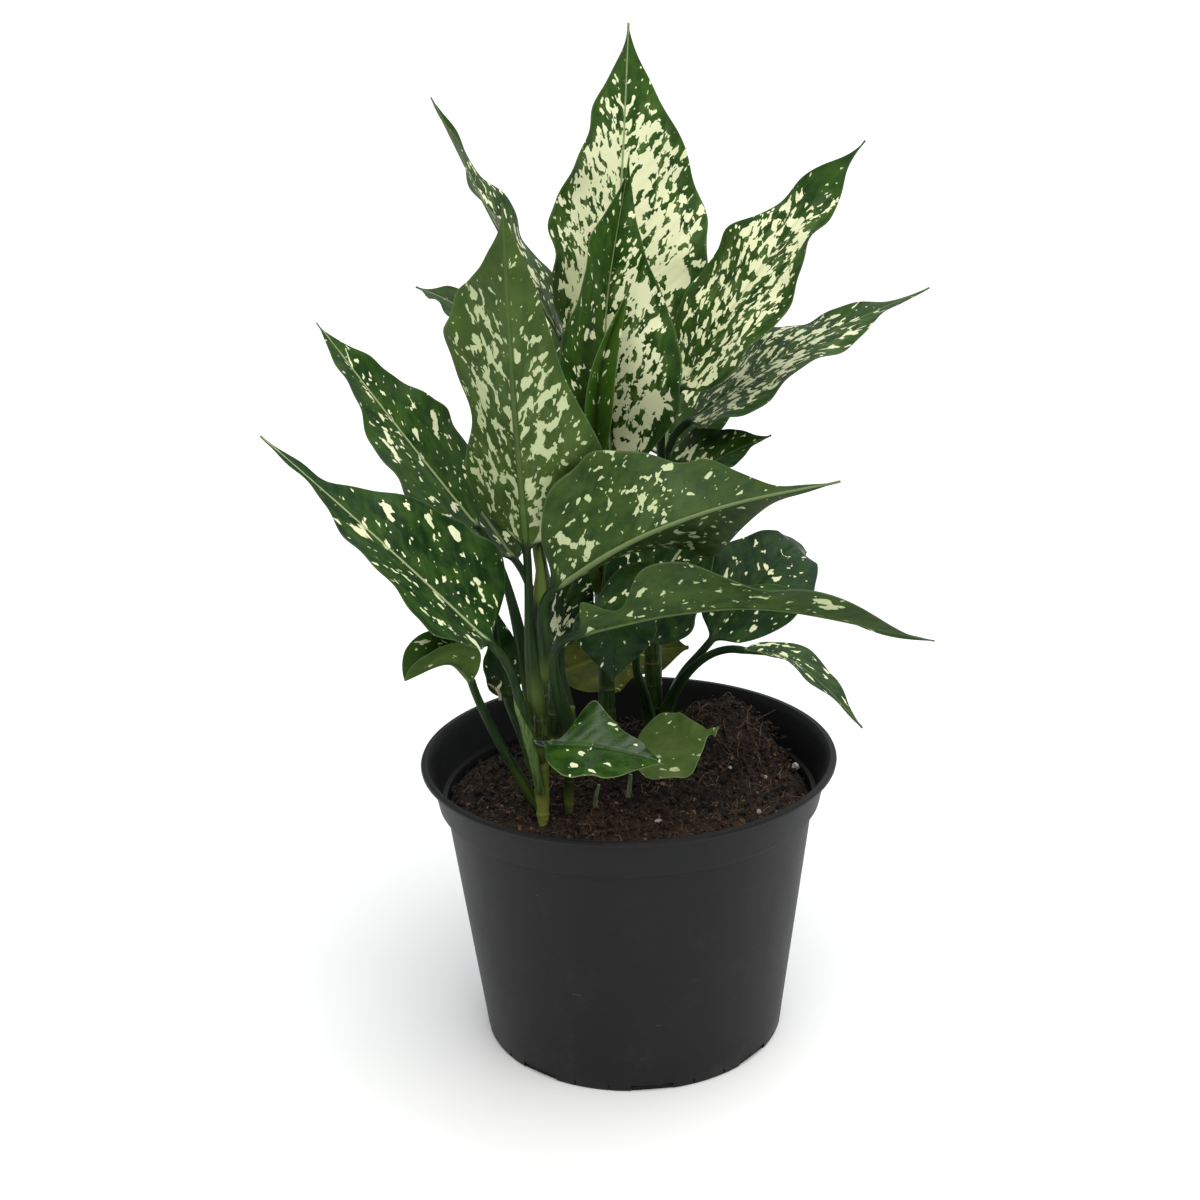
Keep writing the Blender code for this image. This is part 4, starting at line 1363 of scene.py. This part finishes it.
# %% Make the pot and cut its drain openings
bm = spin_outline(pot_outline(), POT_STEPS)
pot = place_piece("fine_pot", bm, pot_black, replaces=("pot",), sharp=POT_SHARP)
drain = (DRAIN_DEPTH, DRAIN_WIDTH, DRAIN_HEIGHT * 2)
drain_radius = BODY_BASE_RADIUS - DRAIN_DEPTH / 2 + 4.0
groove = (PANEL_DEPTH * 2, PANEL_GROOVE, PANEL_HEIGHT * 2)
groove_radius = BODY_BASE_RADIUS + 0.1
groove_turn = PANEL_WIDTH / 2 / BODY_BASE_RADIUS
for index in range(DRAIN_COUNT):
    turn = math.tau * index / DRAIN_COUNT - math.radians(90 - DRAIN_TURN)
    cut_box(pot, drain, (drain_radius, 0, 0), turn)
    cut_box(pot, groove, (groove_radius, 0, 0), turn - groove_turn)
    cut_box(pot, groove, (groove_radius, 0, 0), turn + groove_turn)
pot.data.shade_smooth()
pot.data.set_sharp_from_angle(angle=math.radians(POT_SHARP))
print("pot faces:", len(pot.data.polygons))

# %% [markdown]
# ## Soil
# Potting soil is dark peat: crumbs of every size, pale roots and fibres, and a few white grains of
# perlite. Displacing one smooth surface gives the lumps, but not the loose look, so small crumbs
# and thin fibres are scattered over it as well, all from one fixed seed.

# %% Soil surface
SOIL_SINK = 2.0
SOIL_GAP = 0.35
SOIL_RINGS = 110
SOIL_STEPS = 300
SOIL_EASE = 9.0


def soil_detail(x, y):
    """The true surface with its lumps, in millimetres."""
    place = Vector((x, y, 0.0))
    lumps = noise.fractal(place / 16.0, 0.9, 2.1, 3) * 2.0
    crumbs = noise.fractal(place / 3.6 + Vector((7, 3, 1)), 0.5, 2.0, 4) * 1.9
    return soil_height(x, y) + lumps + crumbs


def make_soil(made_material):
    floor = FLOOR + SOIL_GAP
    over_drains = DRAIN_HEIGHT + SOIL_GAP
    edge = inner_radius(SOIL_LEVEL - SOIL_SINK) - SOIL_GAP
    outline = [
        (0.0, floor),
        (BODY_BASE_RADIUS - DRAIN_DEPTH - SOIL_GAP, floor),
        (BODY_BASE_RADIUS - DRAIN_DEPTH, over_drains),
        (inner_radius(over_drains) - SOIL_GAP, over_drains),
        (edge, SOIL_LEVEL - SOIL_SINK),
    ]
    outline += [(edge * (1 - step / SOIL_RINGS), SOIL_LEVEL) for step in range(1, SOIL_RINGS)]
    outline.append((0.0, SOIL_LEVEL))
    bm = spin_outline(outline, SOIL_STEPS)
    for vert in bm.verts:
        if vert.co.z > SOIL_LEVEL - 1.0:
            fade = min(1.0, (edge - vert.co.xy.length) / SOIL_EASE)
            rise = soil_detail(vert.co.x, vert.co.y) - SOIL_LEVEL + SOIL_SINK
            vert.co.z = SOIL_LEVEL - SOIL_SINK + rise * fade**0.5
    place_piece("fine_soil", bm, made_material, replaces=("soil",), sharp=180.0)


# %% Materials: peat, bark, fibre and perlite
peat, tree, shader = new_material("peat", 0.95)
objects = object_place(tree)
_, backwards, _ = parted(tree, objects)
clods = grain(tree, objects, 330, detail=6.0, rough=0.7)
crumbed = between(tree, clods, 0.4, 0.62)
earth = blended(tree, crumbed, colour(0.0008, 0.0006, 0.0004), colour(0.078, 0.042, 0.021))
front = between(tree, times(tree, backwards, -1.0), 0.0, 0.05)
red = times(tree, between(tree, grain(tree, objects, 28), 0.4, 0.6), front)
earth = blended(tree, times(tree, red, 0.65), earth, colour(0.1, 0.043, 0.019))
specks = grain(tree, objects, 900, detail=3.0)
pale_specks = times(tree, between(tree, specks, 0.66, 0.74), 0.5)
earth = blended(tree, pale_specks, earth, colour(0.16, 0.11, 0.07))
# Painted shade: noise patches darken the peat towards near black as shadow, more strongly towards the
# back of the pot than at the front.
painted_shadow_patches = between(tree, grain(tree, objects, 24, detail=3.0), 0.38, 0.6)
painted_shade_strength = minus(tree, 0.75, times(tree, front, 0.3))
earth = blended(tree, times(tree, painted_shadow_patches, painted_shade_strength), earth, colour(0.005, 0.0035, 0.002))
coated(tree, shader, earth, plus(tree, clods, times(tree, specks, 0.5)), 0.0035)

straw, tree, shader = new_material("fibre", 0.8)
objects = object_place(tree)
strands = between(tree, grain(tree, objects, 140, detail=3.0), 0.35, 0.65)
skin = blended(tree, strands, colour(0.03, 0.018, 0.01), colour(0.24, 0.15, 0.085))
coated(tree, shader, skin, grain(tree, objects, 1500), 0.0002)

BARK_COLOURS = (colour(0.02, 0.01, 0.005), colour(0.26, 0.14, 0.075))
PERLITE_COLOURS = (colour(0.3, 0.27, 0.22), colour(0.72, 0.7, 0.65))
bark_noise = {"gloss": 0.2, "ends": (0.38, 0.68), "detail": 4.0, "rough": 0.6}
bark = two_tone("bark chips", 0.85, BARK_COLOURS, 160, 0.0008, **bark_noise)
perlite = two_tone("perlite", 0.9, PERLITE_COLOURS, 1100, 0.0005, ends=(0.35, 0.7), detail=3.0)

make_soil(peat)

# %% Helpers for loose bits
CRUMBS = 4200
CHIPS = 900
SCATTER_RADIUS = 90.0
ROUGHNESS = 0.22
# Where the grains of perlite lie, and then the one large grain
PERLITE_SPOTS = (
    (86, 17), (14, -36), (70, 6), (52, 8), (-20, -76),
    (38, -60), (-62, -40), (20, -70), (64, -30),
)
LARGE_GRAIN = (86, 17, 2.6)
scatter = random.Random(11)


def random_spot(limit):
    """A random place on the soil, in millimetres."""
    radius = limit * math.sqrt(scatter.random())
    angle = scatter.uniform(0, math.tau)
    return radius * math.cos(angle), radius * math.sin(angle)


def add_lump(bm, x, y, size, sunk, detail=1):
    """A rough lump that lies on the soil, sunk by a share of its size."""
    z = soil_detail(x, y) + size * (1 - 2 * sunk)
    angle = scatter.uniform(0, math.tau)
    axis = Vector((scatter.random(), scatter.random(), 1))
    sides = (scatter.uniform(0.7, 1.3), scatter.uniform(0.6, 1.1), scatter.uniform(0.5, 0.9), 1)
    put = Matrix.Translation((x, y, z)) @ Matrix.Rotation(angle, 4, axis) @ Matrix.Diagonal(sides)
    lump = bmesh.ops.create_icosphere(bm, subdivisions=detail, radius=size, matrix=put)
    for vert in lump["verts"]:
        vert.co += Vector([scatter.uniform(-ROUGHNESS, ROUGHNESS) * size for _ in range(3)])


# %% Scatter crumbs, bark and perlite
bm = bmesh.new()
for _ in range(CRUMBS):
    x, y = random_spot(SCATTER_RADIUS)
    add_lump(bm, x, y, scatter.uniform(0.35, 0.9) + scatter.random() ** 6 * 1.9, 0.3)
crumbs = place_piece("soil_crumbs", bm, peat, sharp=50.0)

bm = bmesh.new()
for _ in range(CHIPS):
    x, y = random_spot(SCATTER_RADIUS)
    if y < scatter.gauss(10, 40):
        add_lump(bm, x, y, scatter.uniform(0.4, 1.1) + scatter.random() ** 5, 0.3)
chips = place_piece("bark_chips", bm, bark, sharp=30.0)

bm = bmesh.new()
for x, y in PERLITE_SPOTS:
    add_lump(bm, x, y, scatter.uniform(1.0, 1.7), 0.2, detail=2)
add_lump(bm, *LARGE_GRAIN, 0.2, detail=2)
grains = place_piece("perlite_grains", bm, perlite, sharp=60.0)
for item in (crumbs, chips, grains):
    print(item.name, "faces:", len(item.data.polygons))

# %% Roots and fibres
LONG_FIBRES = 130
SHORT_FIBRES = 900
MOUND_FIBRES = 36
FIBRE_STEPS = 8
LONG_REACH = SCATTER_RADIUS - 6
SHORT_REACH = SCATTER_RADIUS - 4


def make_strands(name, lines, made_material):
    """Thin round strands, each a list of (x, y, z, radius) in millimetres, as one closed mesh."""
    curve = bpy.data.curves.new(name, "CURVE")
    curve.dimensions = "3D"
    curve.bevel_depth = MM
    curve.bevel_resolution = 1
    curve.use_fill_caps = True
    for line in lines:
        spline = curve.splines.new("POLY")
        spline.points.add(len(line) - 1)
        for point, (x, y, z, radius) in zip(spline.points, line):
            point.co = (x * MM, y * MM, z * MM, 1.0)
            point.radius = radius
    item = put_in_scene(name + "_curve", curve)
    mesh = evaluated_mesh(item)
    bpy.data.objects.remove(item, do_unlink=True)
    bm = bmesh.new()
    bm.from_mesh(mesh)
    bmesh.ops.remove_doubles(bm, verts=bm.verts[:], dist=0.00001)
    bmesh.ops.recalc_face_normals(bm, faces=bm.faces[:])
    place_piece(name, bm, made_material, sharp=60.0, in_mm=False)


def lying_fibre(x, y, length, radius, lift):
    """A wandering fibre that lies on the soil and lifts off it here and there."""
    heading = scatter.uniform(0, math.tau)
    line = []
    for step in range(FIBRE_STEPS + 1):
        share = step / FIBRE_STEPS
        height = soil_detail(x, y) + radius * 0.6 + lift * math.sin(math.pi * share)
        line.append((x, y, height, radius * (1 - 0.5 * share)))
        heading += scatter.uniform(-0.45, 0.45)
        x += length / FIBRE_STEPS * math.cos(heading)
        y += length / FIBRE_STEPS * math.sin(heading)
        if math.hypot(x, y) > SCATTER_RADIUS:
            break
    return line


def random_fibre(x, y, lengths, radii, lifts):
    return lying_fibre(x, y, scatter.uniform(*lengths), scatter.uniform(*radii), scatter.uniform(*lifts))


fibres = []
for _ in range(LONG_FIBRES):
    x, y = random_spot(LONG_REACH)
    fibres.append(random_fibre(x, y, (5, 20), (0.1, 0.28), (0, 2.0)))
for _ in range(SHORT_FIBRES):
    x, y = random_spot(SHORT_REACH)
    if y < scatter.gauss(20, 40):
        fibres.append(random_fibre(x, y, (2, 8), (0.1, 0.24), (0, 1.2)))
for _ in range(MOUND_FIBRES):
    x = scatter.gauss(52, 16)
    y = scatter.gauss(42, 14)
    if math.hypot(x, y) < LONG_REACH:
        fibres.append(random_fibre(x, y, (10, 26), (0.1, 0.26), (0.5, 5)))
# Two strands stand up from the soil: one at the front left, one at the rear right
fibres.append([(-53, -66, 140, 0.5), (-50, -70, 135, 0.45), (-47, -74, 129, 0.4)])
fibres.append([(60, 60, 133, 0.22), (70, 60, 141, 0.2), (84, 60, 149, 0.15)])
make_strands("soil_fibres", [line for line in fibres if len(line) > 2], straw)
print("fibres:", len(fibres))

# %% [markdown]
# ## Floor and light
# The plant stands on a plain pale floor that runs far behind it, so the picture has no horizon. The
# photo has soft daylight from above with no hard shadow. Area lamps would light the near floor more
# than the far floor and turn the distance grey, so two wide soft suns are used, under an even sky.

# %% Floor
bm = bmesh.new()
bmesh.ops.create_grid(bm, x_segments=4, y_segments=4, size=30.0)
floor = put_in_scene("floor", finished_mesh("floor", bm))
floor_pale, tree, shader = new_material("pale floor", 0.75)
faint = grain(tree, object_place(tree), 3, detail=3.0)
pale_grey = blended(tree, faint, colour(0.93, 0.93, 0.93), colour(0.97, 0.97, 0.97))
tree.links.new(pale_grey, shader.inputs["Base Color"])
floor.data.materials.append(floor_pale)

# %% Light
world = bpy.data.worlds.new("sky")
bpy.context.scene.world = world
world.use_nodes = True
sky = world.node_tree.nodes["Background"]
sky.inputs["Color"].default_value = colour(0.93, 0.97, 1.0)
sky.inputs["Strength"].default_value = 0.45


def soft_sun(name, place, strength, spread, tint):
    """A sun that shines from place towards the plant. spread is its width in the sky, in degrees."""
    lamp = bpy.data.lights.new(name, "SUN")
    lamp.energy = strength
    lamp.angle = math.radians(spread)
    lamp.color = tint
    item = put_in_scene(name, lamp)
    aim = -Vector(place)
    item.matrix_world = Matrix.Translation(place) @ aim.to_track_quat("-Z", "Y").to_matrix().to_4x4()


soft_sun("key_sun", (0.3, -0.8, 1.9), 2.6, 70.0, (1.0, 0.99, 0.95))
soft_sun("back_sun", (0.5, 1.0, 1.4), 0.8, 60.0, (0.95, 0.98, 1.0))
view = bpy.context.scene.view_settings
view.view_transform = "Standard"
view.look = "None"
print("suns and sky are set, view:", view.view_transform)
